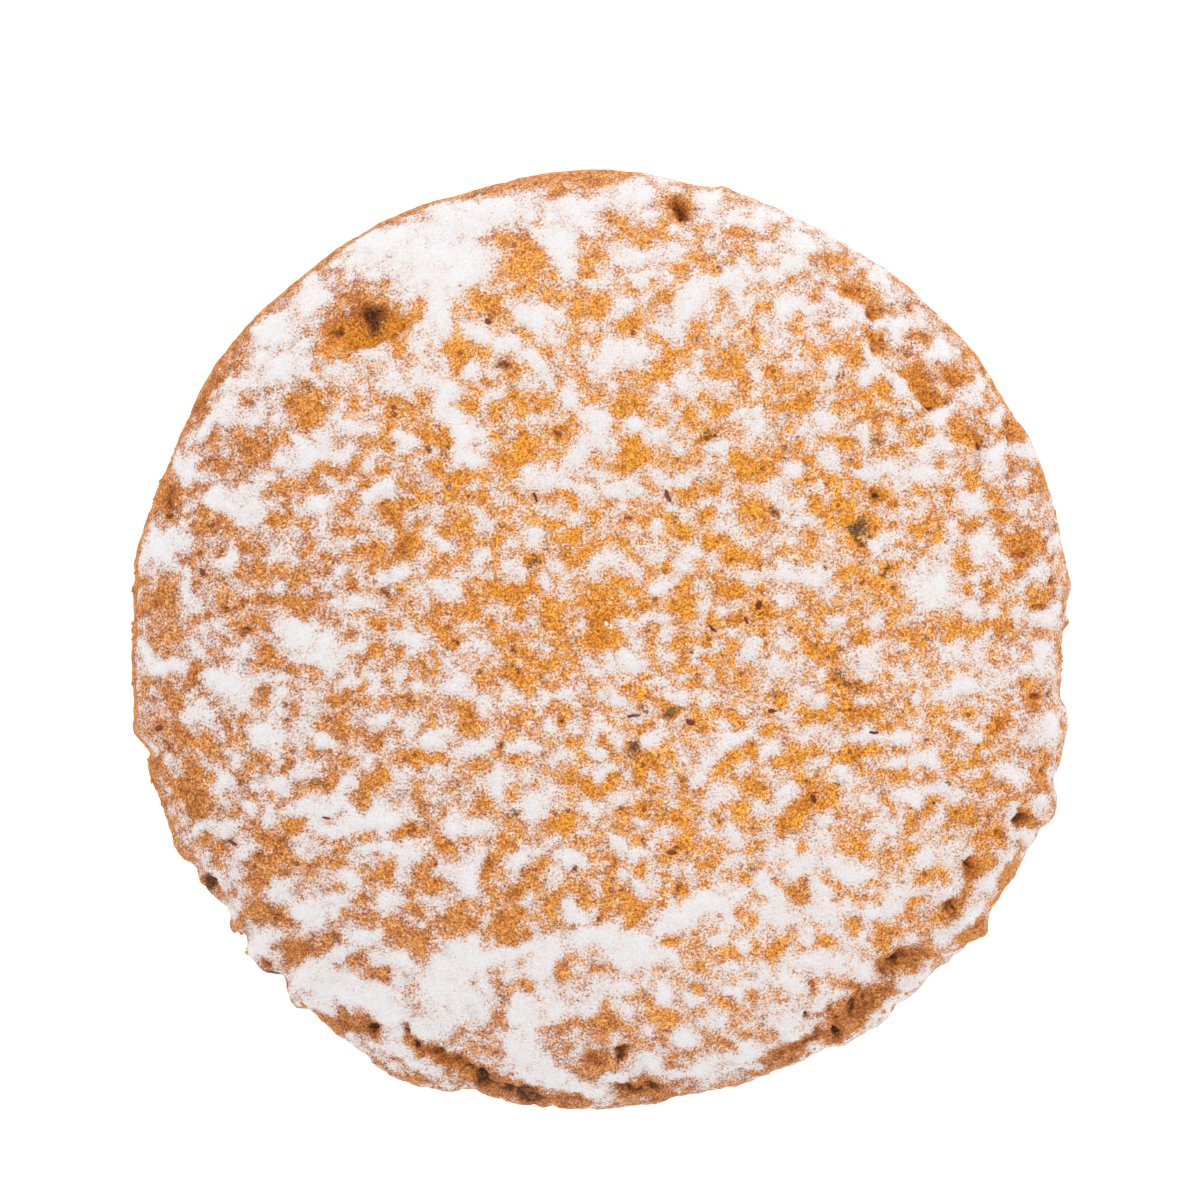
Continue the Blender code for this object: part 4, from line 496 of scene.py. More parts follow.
# Browner places: X, Y, half length, half width, turn, strength. The dark rows on pits, cracks and the hole
# by the far rim are painted shade in those hollows as well as darker crumb.
TOASTED_AND_SHADED = (
    (-23.4, 33.2, 1.6, 1, 0, 0.35), (-22.2, 32.6, 1.3, 0.7, 10, 1.4), (-22.2, 31.5, 0.6, 0.9, 0, 1.1),
    (-22.2, 30, 3.4, 1.6, 12, 0.2), (-23.7, 28.8, 0.25, 0.2, 0, 0.9), (7.9, 42.9, 0.8, 0.45, -42, 1.2),
    (-42.1, 13.6, 0.8, 1.5, -15, 0.45), (-42.2, 12.2, 0.3, 0.3, 0, 1.1), (-42, 13.3, 0.2, 0.3, 0, 0.9),
    (-38.2, 24.6, 4.2, 0.5, 57, 0.4), (-14.6, -41.6, 3.6, 0.6, -28, 0.3),
    (-11.5, -43.2, 0.65, 0.55, 0, 1.25), (-7.4, -44.7, 3, 0.35, -12, 0.4),
    (-8.8, -44.3, 0.5, 0.2, 20, 0.9), (-5.6, -45, 0.4, 0.2, 0, 0.8), (-18.8, -38.7, 0.5, 0.5, 0, 0.85),
    (-17.8, -40.1, 0.45, 0.3, -40, 0.8), (-22.2, -38.4, 0.75, 0.45, -30, 1.2),
    (-24.8, -37.6, 1.4, 0.4, -30, 0.4), (2.7, -44.3, 0.8, 0.3, 5, 1.2), (5.2, -44.4, 1.2, 0.5, 0, 0.4),
    (4.9, -44.2, 0.35, 0.2, 0, 1), (6.1, -44, 0.25, 0.2, 0, 0.8), (2.3, -41.1, 0.7, 0.6, 0, 0.6),
    (2.1, -41.2, 0.3, 0.25, 0, 1), (-0.4, -41.8, 1, 0.5, -20, 0.5), (20.6, -39.9, 3.4, 0.35, 26, 0.35),
    (24.6, -36.8, 2.2, 0.6, 33, 0.2), (23.2, -38.5, 0.55, 0.45, 0, 1.3), (22.7, -36.8, 0.35, 0.3, 0, 0.9),
    (26.3, -35.9, 0.4, 0.25, 30, 0.8), (25.1, -34.9, 0.3, 0.25, 0, 0.7), (20.5, -37.3, 0.4, 0.4, 0, 1.2),
    (27.4, -34.7, 0.4, 0.3, 45, 0.7), (20.8, -34.2, 0.35, 0.4, 0, 0.9), (25, -33.6, 0.45, 0.25, 0, 0.8),
    (29.3, -31.7, 0.65, 0.5, 0, 1.25), (29.5, -30.7, 0.4, 0.3, 30, 1), (31, -31, 1.2, 0.4, 20, 0.25),
    (27.8, -32.2, 0.5, 0.4, 0, 0.7), (36.3, -22.4, 0.45, 0.5, 0, 0.9), (34.4, -26.1, 0.3, 0.6, 0, 0.9),
    (37.1, -28.5, 0.25, 0.3, 0, 0.8), (41.3, -17.3, 0.6, 0.5, 0, 0.9), (39.1, -18.5, 0.4, 0.4, 0, 0.8),
    (42.7, -5.8, 0.7, 0.5, 0, 0.7), (38.9, -8, 0.4, 0.6, 0, 0.5), (43.1, -12.9, 0.4, 0.4, 0, 0.7),
    (44, 5.5, 0.4, 0.4, 0, 0.9), (42.8, 3.6, 0.6, 0.5, 0, 0.5), (41.3, 8.2, 0.7, 0.5, 0, 0.5),
    (41, 10.6, 0.2, 0.2, 0, 0.8), (40.6, 8.9, 0.25, 0.2, 0, 0.7), (31, 26.4, 0.25, 0.25, 0, 0.8),
    (31.6, 25.2, 0.3, 0.2, 0, 0.7), (32.4, 23.2, 0.3, 0.35, 0, 0.8), (33, 24.4, 0.2, 0.2, 0, 0.7),
    (24.8, 34.9, 0.6, 0.6, 0, 0.6), (26.6, 32.4, 0.5, 0.4, 0, 0.5), (27, 29.6, 0.5, 0.4, 0, 0.4),
    (40.2, 19.8, 0.3, 0.8, 0, 0.6), (37, 19.4, 0.3, 0.7, 0, 0.5), (30.1, 28.5, 0.4, 0.3, 0, 0.7),
    (34.6, 25.6, 0.4, 0.4, 0, 0.5), (32.3, 30.3, 0.4, 0.4, 0, 0.4), (-31.6, -27.2, 1, 1.2, 0, 0.4),
    (-29.8, -30.2, 2, 0.8, 0, 0.3), (-39.2, -16.6, 1.2, 1.4, 0, 0.3), (-38.2, -24, 0.5, 0.8, 35, 0.9),
    (-31.4, -33, 2, 0.3, -40, 0.9), (-19, 9.2, 1, 0.5, 10, 0.3), (-7.9, -3.5, 0.3, 0.3, 0, 0.7),
    (-3.7, -8.2, 0.2, 0.2, 0, 1.4), (0.95, -5.8, 0.13, 0.13, 0, 1.4), (0, 1.8, 1.2, 1, 0, 0.2),
    (26.9, 14, 0.6, 0.8, 20, 0.5), (22.2, 15.2, 0.5, 0.3, 0, 0.7), (18.4, 11.2, 0.35, 0.3, -40, 0.9),
    (18, 12, 0.2, 0.2, 0, 0.8), (-10.7, 31.2, 0.5, 0.5, 0, 0.6), (-26, 30.4, 0.5, 0.3, 0, 0.6),
    (3.2, 11.8, 0.26, 0.26, 20, 1), (8, 9.9, 0.31, 0.24, -60, 1), (-1.3, -7.4, 0.31, 0.24, 40, 1),
    (8.6, -13.4, 0.31, 0.26, 40, 1), (1.4, -13.6, 0.26, 0.24, 0, 1), (-9.2, -10.5, 0.43, 0.39, 0, 1),
    (-11.5, -12.3, 0.26, 0.24, 0, 1), (-14.2, -0.3, 0.43, 0.39, 0, 1), (-20.8, 4.6, 0.36, 0.39, 0, 1),
    (-21.4, 1, 0.26, 0.29, 0, 1), (-15.7, 7.4, 0.24, 0.24, 0, 1), (-16.4, 18.5, 0.47, 0.39, 40, 1),
    (-20.6, 18.6, 0.31, 0.24, -40, 1), (-9.1, 27, 0.36, 0.39, 20, 1), (-4, 20.1, 0.26, 0.29, 0, 1),
    (-38.4, 2.3, 0.26, 0.24, 60, 1), (-36.7, 2.6, 0.26, 0.24, -20, 1), (-34.3, 1.5, 0.47, 0.39, 20, 1),
    (-38.9, -3.1, 0.31, 0.34, 0, 1), (-33.2, -21.4, 0.31, 0.29, 10, 1), (-15.8, -21.8, 0.31, 0.34, 0, 1),
    (-23.8, -24.4, 0.26, 0.24, 0, 1), (-31.2, -27.5, 0.26, 0.29, 0, 1), (-2.8, -22.9, 0.31, 0.24, 0, 1),
    (7.4, -24.8, 0.26, 0.24, 0, 1), (9.1, -1.1, 0.26, 0.26, -40, 1), (4.7, 0.3, 0.24, 0.24, 0, 1),
    (16.4, -0.9, 0.26, 0.24, 60, 1), (15.8, 7.1, 0.31, 0.34, 0, 1), (12.3, 6.4, 0.24, 0.24, 0, 1),
    (17.4, 12.6, 0.31, 0.24, 0, 1), (26.8, 14.2, 0.58, 0.39, -60, 1), (26.7, 10.5, 0.31, 0.24, 0, 1),
    (22.3, 7.6, 0.26, 0.24, -60, 1), (25.6, 5.6, 0.24, 0.24, 0, 1), (32.6, -1.9, 0.24, 0.24, -30, 1),
    (20.6, -13.9, 0.31, 0.26, 0, 1), (32.6, -16.2, 0.24, 0.24, 0, 1), (29.3, -1, 0.24, 0.24, 0, 1),
    (43.3, 10.2, 0.24, 0.24, 90, 1), (39.8, 12.4, 0.24, 0.24, 90, 1), (20, 24.1, 0.26, 0.24, 0, 1),
    (15.1, 30.4, 0.26, 0.24, 0, 1), (12.5, 38.1, 0.26, 0.24, 0, 1), (23.4, 25.6, 0.31, 0.24, 20, 1),
    (-25.6, 30.7, 0.4, 0.35, 0, 1), (-23.9, 29.3, 0.3, 0.25, 0, 1), (-20.4, 29.6, 0.25, 0.25, 0, 0.8),
)

# Grey-green specks of ground spice: X, Y, half length, half width, turn, strength.
SPICE = (
    (25.5, 11.2, 1.03, 0.8, 0, 1), (25.4, 9.8, 0.8, 0.57, 0, 0.7), (17.4, 12.4, 1.15, 0.69, -30, 0.8),
    (11.4, 20.2, 1.03, 0.92, 0, 0.7), (27.9, 6.5, 0.57, 0.46, 0, 0.8), (23.4, -3.4, 1.15, 0.92, -30, 0.6),
    (24.6, -4.8, 1.15, 0.69, -30, 0.6), (6.9, -7, 0.92, 0.8, 0, 0.9), (3.5, -10.7, 0.57, 0.92, 0, 0.9),
    (4.4, -6.8, 0.57, 0.46, 0, 0.6), (-20.7, 4.8, 0.69, 0.57, 0, 0.9), (-9, 27.1, 0.8, 0.69, 0, 0.8),
    (2.5, 26.2, 0.57, 0.46, 0, 0.6), (-34.2, -1.8, 0.69, 0.46, 0, 0.7), (-16.3, 18.6, 0.57, 0.46, 0, 0.8),
    (-15.4, 17.8, 0.57, 0.34, 0, 0.6), (-4, 20.1, 0.23, 0.23, 0, 1.2), (-6.2, 7.6, 0.69, 0.46, 0, 0.6),
    (-3.4, 8.4, 0.57, 0.8, 0, 0.5), (-8.4, -17.4, 1.03, 0.69, 0, 0.6), (-6, -11, 0.69, 0.57, 0, 0.6),
    (-28, 5.2, 1.03, 0.23, 10, 0.6), (-12, 44, 0.69, 0.57, 0, 0.6), (-22.1, 31.6, 1.1, 1, 0, 1),
    (27.2, 19.2, 0.57, 0.46, 0, 0.6), (35, -14.6, 0.57, 0.46, 0, 0.6), (-25.6, -29, 0.69, 0.46, 0, 0.7),
    (-27.4, -13.6, 0.92, 0.34, 0, 0.5), (30.2, -12.4, 0.34, 0.69, 0, 0.4),
    (24.8, -6.6, 0.46, 0.34, 0, 0.6), (22, 6, 0.46, 0.34, 0, 0.6), (20.8, 17, 0.57, 0.34, 0, 0.5),
)

# Loose crumbs that stand out: X, Y, size.
CRUMBS = (
    (0.3, -9.6, 0.55), (0.9, -9.3, 0.35), (0.2, -10.4, 0.4), (0.6, -10.8, 0.25), (-24.9, -26.5, 0.45),
    (-24.7, -26.9, 0.35), (-13.6, 34.8, 0.25), (11.4, 44.1, 0.35), (12.2, 43.9, 0.4),
    (-39.3, -12.8, 0.45), (-38.9, -13.1, 0.3), (-31.7, -10.3, 0.3), (-20, -35.4, 0.2),
    (-14.1, -31.2, 0.15), (-27.6, -23.4, 0.3), (-22.9, -19.1, 0.3), (-22.1, -30.1, 0.35),
    (-11.6, -25.4, 0.3), (0.6, -38.7, 0.5), (1.2, -38.4, 0.35), (18.3, 41.3, 0.25), (30.3, -11.4, 0.15),
    (42.9, -8.6, 0.15), (45.5, 1.5, 0.35), (-9.4, 39.2, 0.3), (16.4, 20, 0.3), (-17, 26.8, 0.3),
)

# Flecks of nut skin: X, Y, length, width, turn.
NUT_SKINS = (
    (15.6, 3.4, 1.2, 0.5, 75), (15.9, 2.5, 0.7, 0.14, 35), (14.3, 1.9, 0.9, 0.3, -60),
    (10.9, 1, 0.7, 0.25, -45), (6.7, 14, 0.9, 0.35, -65), (-6.3, 13.8, 0.8, 0.2, -70),
    (3.4, -7.4, 1, 0.25, 5), (8.9, -8.3, 0.9, 0.5, -20), (7.2, -21, 0.7, 0.5, 0),
    (-10.7, 31.2, 0.9, 0.4, -50), (-38.5, 6.5, 0.7, 0.5, -40), (-42.8, -8.6, 0.7, 0.5, 20),
    (-35.8, -20.1, 1, 0.4, -30), (-26.7, -17.7, 0.8, 0.2, -15), (16.8, -6.9, 0.7, 0.3, 0),
    (26.9, -9.2, 0.7, 0.3, 0), (21, -15.7, 0.8, 0.35, -60), (37.1, 18.9, 0.9, 0.35, -70),
)

# White sugar flakes: X, Y, size.
SUGAR_FLAKES = (
    (0.7, 1.7, 0.6), (1.05, 1.3, 0.5), (1.4, 1.8, 0.25), (6.7, -24, 0.4), (6.5, -24.3, 0.3),
    (6, -25.5, 0.42), (6.5, -25.7, 0.3), (5.7, -25.4, 0.25), (2.7, -24.7, 0.3), (2, -21.4, 0.25),
    (3.5, -17.6, 0.25), (0.9, -18.1, 0.25), (-0.1, -17.6, 0.22), (7.4, -28.6, 0.3), (-14.1, -42.7, 0.16),
    (-11.8, -41.8, 0.12), (18.5, 26.5, 0.18), (5.5, -11.3, 0.2), (27.6, -24, 0.15), (-35.6, 6.8, 0.2),
    (-41.4, 5.8, 0.2),
)

# Flat chips of almond and peel in the top: X, Y, length, width, turn.
CHIPS = (
    (8.4, 27.3, 2, 0.8, -8), (23.4, 3.8, 2, 1.1, 0), (-21.6, 31.7, 0.6, 0.4, 20),
)

# ---------------------------------------------------------------------------------------------
# Sizes, in millimetres.
# ---------------------------------------------------------------------------------------------

RADIUS = 45.9
HEIGHT = 16.0
RIM_HEIGHT = 4.6
BASE_RADIUS = 43.0
DOME_POWER = 2.7
OUTLINE_REACH = 4.0
SECTION_STEPS = 600
CRUST_CELLS = 300
GLAZE_CELLS = 232
SEED = 7

# How sharp the edges of the ovals are: 2 is a bell, and more is flatter with a steeper edge.
PATCH_POWER = 2.4
MARK_POWER = 3.2
SPECK_POWER = 2.8
GOLDEN_POWER = 2.2

# Noise pushes the features' places about: how far, and its longest wavelength.
PUSH = 0.85
PUSH_LENGTH = 2.8

# Radii between which the rim's crumbled dough and its browning set in.
RIM_BAND = (40.0, 45.5)
BROWN_BAND = (34.0, 46.0)

# Heights between which the side wall's relief and marks set in, and its sugar and gold fade out.
RELIEF_BAND = (0.0, 2.5)
MARK_BAND = (2.2, 4.6)
BARE_WALL_BAND = (4.6, 0.8)
BROWN_WALL_BAND = (5.0, 1.5)

# Middles of the two parts of the rim that have less sugar, in degrees.
FAR_LEFT = 142.0
FAR_RIGHT = 46.0

# Scattered crumbs lie on the left and right of the rim: the middles and width of both parts in
# degrees, and the share that lies on the left.
CRUMB_SIDES = (180.0, 345.0)
CRUMB_WIDTH = 110.0
CRUMB_SHARE = 0.6

# The floor is a square plate just under the base: half its width and the gap, in metres.
FLOOR_HALF = 4.0
FLOOR_GAP = 0.00002

# The bake map holds a disc for the top and side, and a smaller one for the underside.
TOP_MAP = (0.432, 0.432, 0.43)
UNDER_MAP = (0.853, 0.853, 0.143)

# How deep the glaze's hidden bottom lies under the crust's mean surface.
GLAZE_ROOT = 0.32

# The features are laid out on a flat plan at the rim's height, and are cast down on the dome from
# this point high above it.
PLAN_POINT = (-0.1, 3.9, 658.6)
PLAN_SHIFT = (0.1, 0.25)


# ---------------------------------------------------------------------------------------------
# Fields of position.
# ---------------------------------------------------------------------------------------------


def smooth_step(low, high, value):
    """0 at low and 1 at high, 3t^2 - 2t^3 between them. With low above high it falls instead."""
    t = np.clip((value - low) / (high - low), 0.0, 1.0)
    return t * t * (3.0 - 2.0 * t)


def hash_cells(x, y, z, seed):
    """A scrambled whole number for each lattice cell: products with large odd numbers, then shifts."""
    mixed = (x * 374761393 + y * 668265263 + z * 1274126177 + seed * 974634777) & 0xFFFFFFFF
    mixed = ((mixed ^ (mixed >> 13)) * 1103515245) & 0xFFFFFFFF
    mixed = ((mixed ^ (mixed >> 15)) * 1540483477) & 0xFFFFFFFF
    return mixed ^ (mixed >> 14)


def noise(points, wavelength, seed):
    """Gradient noise with mean 0 and spread near 0.3, with soft lumps about a wavelength apart.

    Each lattice corner gets a random slope; the slopes' heights at a point are blended by the
    quintic fade 6t^5 - 15t^4 + 10t^3 along each axis.
    """
    scaled = points / wavelength
    cell = np.floor(scaled).astype(np.int64)
    part = scaled - cell
    fade = part ** 3 * (part * (part * 6.0 - 15.0) + 10.0)
    total = np.zeros(points.shape[:-1])
    for corner in range(8):
        step = np.array([corner & 1, corner >> 1 & 1, corner >> 2 & 1])
        hashed = hash_cells(*np.moveaxis(cell + step, -1, 0), seed)
        slope = np.stack([(hashed >> shift & 255) / 127.5 - 1.0 for shift in (0, 8, 16)], -1)
        weight = np.prod(np.where(step == 1, fade, 1.0 - fade), axis=-1)
        total += weight * np.sum(slope * (part - step), axis=-1)
    return 1.3 * total


def layered_noise(points, wavelength, layers, keep, seed):
    """Gradient noise summed over layers, each half the wavelength of the last and keep times it."""
    total = np.zeros(points.shape[:-1])
    for layer in range(layers):
        total += keep ** layer * noise(points, wavelength / 2.0 ** layer, seed + 31 * layer)
    return total


def turned_distance(x, y, at_x, at_y, half_length, half_width, turn):
    """Distance from a turned oval's middle, 1 on its outline."""
    cosine, sine = math.cos(math.radians(turn)), math.sin(math.radians(turn))
    along = ((x - at_x) * cosine + (y - at_y) * sine) / half_length
    across = ((y - at_y) * cosine - (x - at_x) * sine) / half_width
    return np.hypot(along, across)


def oval_field(x, y, ovals, power):
    """Ovals joined without piling up: 1 less the product of what each one leaves.

    An oval leaves 1 - strength * exp(-d^power), where d is 1 on its outline. A strength over 1
    counts as 1.
    """
    left = np.ones_like(x)
    for at_x, at_y, half_length, half_width, turn, strength in ovals:
        away = turned_distance(x, y, at_x, at_y, half_length, half_width, turn)
        left *= 1.0 - min(strength, 1.0) * np.exp(-(away ** power))
    return 1.0 - left


def graded(drifts, dabs):
    """One list of ovals, strength last, from drifts and round dabs that are kept by strength."""
    rows = [(*drift, strength) for strength, group in drifts.items() for drift in group]
    return rows + [(x, y, size, size, 0.0, s) for s, group in dabs.items() for x, y, size in group]


def path_distance(x, y, path):
    """Distance to a path of straight runs, and the share of it passed at the nearest point."""
    corners = np.array(path)
    runs = np.hypot(*np.diff(corners, axis=0).T)
    passed = np.concatenate([[0.0], np.cumsum(runs)])
    best, share = np.full_like(x, np.inf), np.zeros_like(x)
    for (x0, y0), (x1, y1), run, before in zip(corners, corners[1:], runs, passed):
        t = np.clip(((x - x0) * (x1 - x0) + (y - y0) * (y1 - y0)) / run ** 2, 0.0, 1.0)
        away = np.hypot(x - x0 - t * (x1 - x0), y - y0 - t * (y1 - y0))
        share = np.where(away < best, (before + t * run) / passed[-1], share)
        best = np.minimum(best, away)
    return best, share


def outline_swell(angle):
    """How far the outline stands out from the circle at each angle: a sum of soft bells."""
    swell = np.zeros_like(angle)
    for at, width, rise in OUTLINE:
        away = (np.degrees(angle) - at + 180.0) % 360.0 - 180.0
        swell += rise * np.exp(-((away / width) ** 2))
    return swell


def pit_depth(x, y):
    """Depth of the pits: each is a turned oval with steep sides and a flatter floor."""
    depth = np.zeros_like(x)
    for at_x, at_y, half_length, half_width, deep, turn in PITS:
        away = turned_distance(x, y, at_x, at_y, half_length, half_width, turn)
        depth = np.maximum(depth, deep * smooth_step(1.3, 0.3, away))
    return depth


def pore_depth(plain, count, rng):
    """Depth of small pores at random places, more of them towards the rim: each a round bell."""
    depth = np.zeros(plain.shape[:-1])
    reach = RADIUS * rng.random(count) ** 0.38
    turn = 2.0 * math.pi * rng.random(count)
    size = 0.24 + 0.4 * rng.random(count) ** 2.0
    deep = size * (0.4 + 0.7 * rng.random(count))
    for at_x, at_y, half, down in zip(reach * np.cos(turn), reach * np.sin(turn), size, deep):
        away = np.hypot(plain[..., 0] - at_x, plain[..., 1] - at_y) / half
        depth = np.maximum(depth, down * np.exp(-np.minimum(away, 6.0) ** 2))
    return depth


def crack_depth(x, y):
    """Depth of the cracks: a narrow cleft in a shallow trough, tapered at both ends."""
    depth = np.zeros_like(x)
    for half_width, deep, path in CRACKS:
        away, share = path_distance(x, y, path)
        taper = np.sin(math.pi * np.clip(share, 0.03, 0.97)) ** 0.35
        cleft = smooth_step(1.7 * half_width, 0.2 * half_width, away)
        trough = 0.3 * smooth_step(3.6 * half_width, 0.6 * half_width, away)
        depth = np.maximum(depth, deep * taper * np.maximum(cleft, trough))
    return depth


# ---------------------------------------------------------------------------------------------
# The surface of the biscuit.
# ---------------------------------------------------------------------------------------------


def section():
    """Half section from the top of the dome, over the rim, to the base, by share of its length.

    The dome is a superellipse quarter that closes on the axis, and the foot is an ellipse quarter
    that tucks in under the rim. Returns the share, radius, height and outward normal of each step.
    """
    turn = np.linspace(0.5 * math.pi, 0.0, SECTION_STEPS)
    under = turn[::-1][1:]
    dome_radius = RADIUS * np.clip(np.cos(turn), 0.0, 1.0) ** (2.0 / DOME_POWER)
    dome_height = RIM_HEIGHT + (HEIGHT - RIM_HEIGHT) * np.sin(turn)
    foot_radius = BASE_RADIUS + (RADIUS - BASE_RADIUS) * np.cos(under)
    foot_height = RIM_HEIGHT * (1.0 - np.sin(under))
    radius = np.concatenate([dome_radius, foot_radius])
    height = np.concatenate([dome_height, foot_height])
    radius[0] = 0.0
    height[-1] = 0.0
    length = np.concatenate([[0.0], np.cumsum(np.hypot(np.diff(radius), np.diff(height)))])
    out, up = np.gradient(radius, length), np.gradient(height, length)
    size = np.hypot(out, up)
    return length / length[-1], radius, height, -up / size, out / size


def fold_square(cells):
    """Folds a square grid onto a disc, ring by ring: reach from 0 to 1 and angle of each point.

    Reach is the greater of the square's two coordinates, and the angle runs evenly along each side.
    """
    side = np.linspace(-1.0, 1.0, cells + 1)
    across, along = np.meshgrid(side, side, indexing="xy")
    wide = np.abs(across) > np.abs(along)
    reach = np.where(wide, across, along)
    divisor = np.where(reach == 0.0, 1.0, reach)
    quarter = 0.25 * math.pi
    turn = np.where(wide, quarter * along / divisor, 2.0 * quarter - quarter * across / divisor)
    return np.abs(reach), np.arctan2(reach * np.sin(turn), reach * np.cos(turn))


def plan_place(plain):
    """Where a line from the plan's point high above through each point meets the rim's plane."""
    middle = np.array(PLAN_POINT[:2])
    share = (PLAN_POINT[2] - RIM_HEIGHT) / (PLAN_POINT[2] - plain[..., 2:])
    return middle + (plain[..., :2] - middle) * share + PLAN_SHIFT


def fold_triangles(cells):
    """Two triangles for each cell of the folded grid, split along the diagonal that points outwards."""
    number = np.arange((cells + 1) ** 2).reshape(cells + 1, cells + 1)
    a, b, c, d = number[:-1, :-1], number[:-1, 1:], number[1:, 1:], number[1:, :-1]
    middle = np.arange(cells) + 0.5 - 0.5 * cells
    same = (middle[:, None] * middle[None, :] > 0.0)[..., None]
    first = np.where(same, np.stack([a, b, c], -1), np.stack([a, b, d], -1))
    second = np.where(same, np.stack([a, c, d], -1), np.stack([b, c, d], -1))
    return np.concatenate([first.reshape(-1, 3), second.reshape(-1, 3)])


@functools.lru_cache(maxsize=4)
def biscuit_surface(cells, relief, pores, thickness):
    """The whole top and side as arrays on the folded grid, in millimetres.

    plain is the turned shape with its outline, and plan is the place of each point on the features'
    plan. x and y are that place, pushed about a little so that no feature keeps a plain oval edge.
    """
    reach, angle = fold_square(cells)
    share, *profile = section()
    radius, height, out, up = (np.interp(reach, share, row) for row in profile)
    spread = radius + outline_swell(angle) * (radius / RADIUS) ** OUTLINE_REACH
    plain = np.stack([spread * np.cos(angle), spread * np.sin(angle), height], -1)
    push = np.stack([layered_noise(plain, PUSH_LENGTH, 3, 0.65, SEED + k) for k in (1, 2)], -1)
    plan = plan_place(plain)
    x, y = np.moveaxis(plan + PUSH * push, -1, 0)
    at = SimpleNamespace(
        reach=reach, angle=angle, radius=radius, height=height, plain=plain, plan=plan, x=x, y=y,
        normal=np.stack([out * np.cos(angle), out * np.sin(angle), up], -1),
        lift=smooth_step(*RELIEF_BAND, height), above=smooth_step(*MARK_BAND, height),
        near=smooth_step(-0.35, 0.9, -np.sin(angle + 0.15)), rim=smooth_step(*RIM_BAND, radius),
        right=smooth_step(-12.0, 22.0, plain[..., 0] + 0.4 * plain[..., 1]),
        far_out=smooth_step(16.0, 40.0, np.abs(plain[..., 1])),
    )
    add_relief(at, relief, pores)
    add_sugar(at, thickness)
    add_colours(at)
    return at


def add_relief(at, relief, pores):
    """Lumps everywhere, and pits, cracks, pores and torn places, with crumbled dough round the rim.

    mean is the surface without its finest relief, fine is the bare crust's height above mean, and
    dip is how far small pores and tears sink it.
    """
    facing = at.lift * smooth_step(-0.1, 0.6, at.normal[..., 2])
    at.pits, at.cracks = pit_depth(at.x, at.y), crack_depth(at.x, at.y)
    at.pore = pore_depth(at.plain, pores, np.random.default_rng(SEED))
    lumps = 0.5 * layered_noise(at.plain, 16.0, 2, 0.5, SEED + 3) + 0.14 * noise(at.plain, 3.6, SEED + 4)
    crumbled = (0.12 + 0.38 * at.near) * layered_noise(at.plain, 3.0, 3, 0.6, SEED + 5)
    lumps = lumps + at.rim * crumbled
    at.torn = oval_field(at.x, at.y, TORN, PATCH_POWER) * at.above
    at.shred = layered_noise(at.plain, 1.2, 2, 0.9, SEED + 10)
    at.dip = (at.pore + at.torn * (0.12 + 0.3 * at.shred)) * facing
    at.fine = relief * layered_noise(at.plain, 1.5, 2, 0.75, SEED + 6) * at.lift - at.dip
    at.mean = at.plain + at.normal * (lumps * at.lift - (at.pits + at.cracks) * facing)[..., None]


def add_sugar(at, thickness):
    """Sugar: chance drifts of every size, with this biscuit's own patches laid over them.

    sugar is how much there is, and sweet less dip is the glaze's height above mean, below the
    crust's where there is none. Marks, tears, hollows and the side wall lose sugar.
    """
    stretched = at.plain * (1.0, 1.08, 1.0)
    white = oval_field(at.x, at.y, graded(SUGAR_DRIFTS, SUGAR_DABS), PATCH_POWER)
    bare = oval_field(at.x, at.y, graded(BARE_DRIFTS, BARE_DABS), PATCH_POWER)
    at.marks = oval_field(at.x, at.y, TOASTED_AND_SHADED, MARK_POWER) * at.above
    at.spice = oval_field(at.x, at.y, SPICE, SPECK_POWER) * at.above
    at.sunk = np.maximum(smooth_step(0.3, 1.0, at.pits), smooth_step(0.4, 1.2, at.cracks))
    far_left = smooth_step(0.35, 0.75, np.cos(at.angle - math.radians(FAR_LEFT)))
    far_right = smooth_step(0.6, 0.95, np.cos(at.angle - math.radians(FAR_RIGHT)))
    lost = (
        0.45 * at.sunk + 0.7 * at.torn + 0.5 * at.marks + 0.35 * at.spice
        + 0.9 * smooth_step(*BARE_WALL_BAND, at.height)
        + 0.15 * far_right * smooth_step(8.0, 5.6, at.height)
        + 0.75 * far_left * smooth_step(7.0, 5.8, at.height)
    )
    base = (
        0.45 + (0.64 - 0.05 * at.right) * white - 0.5 * bare - lost + 0.03 * at.far_out
        - 0.03 * at.rim * (at.right + at.near * (1.0 - at.right))
        + 0.08 * layered_noise(stretched, 6.0, 2, 1.0, SEED + 7)
    )
    mottle = layered_noise(stretched, 1.8, 2, 0.9, SEED + 8) * (1.0 - 0.4 * white)
    at.sugar = base + 0.55 * mottle
    body = smooth_step(0.35, 1.15, base + 0.16 * mottle)
    at.sweet = thickness * body - 0.08 + 0.02 * noise(at.plain, 0.9, SEED + 9)


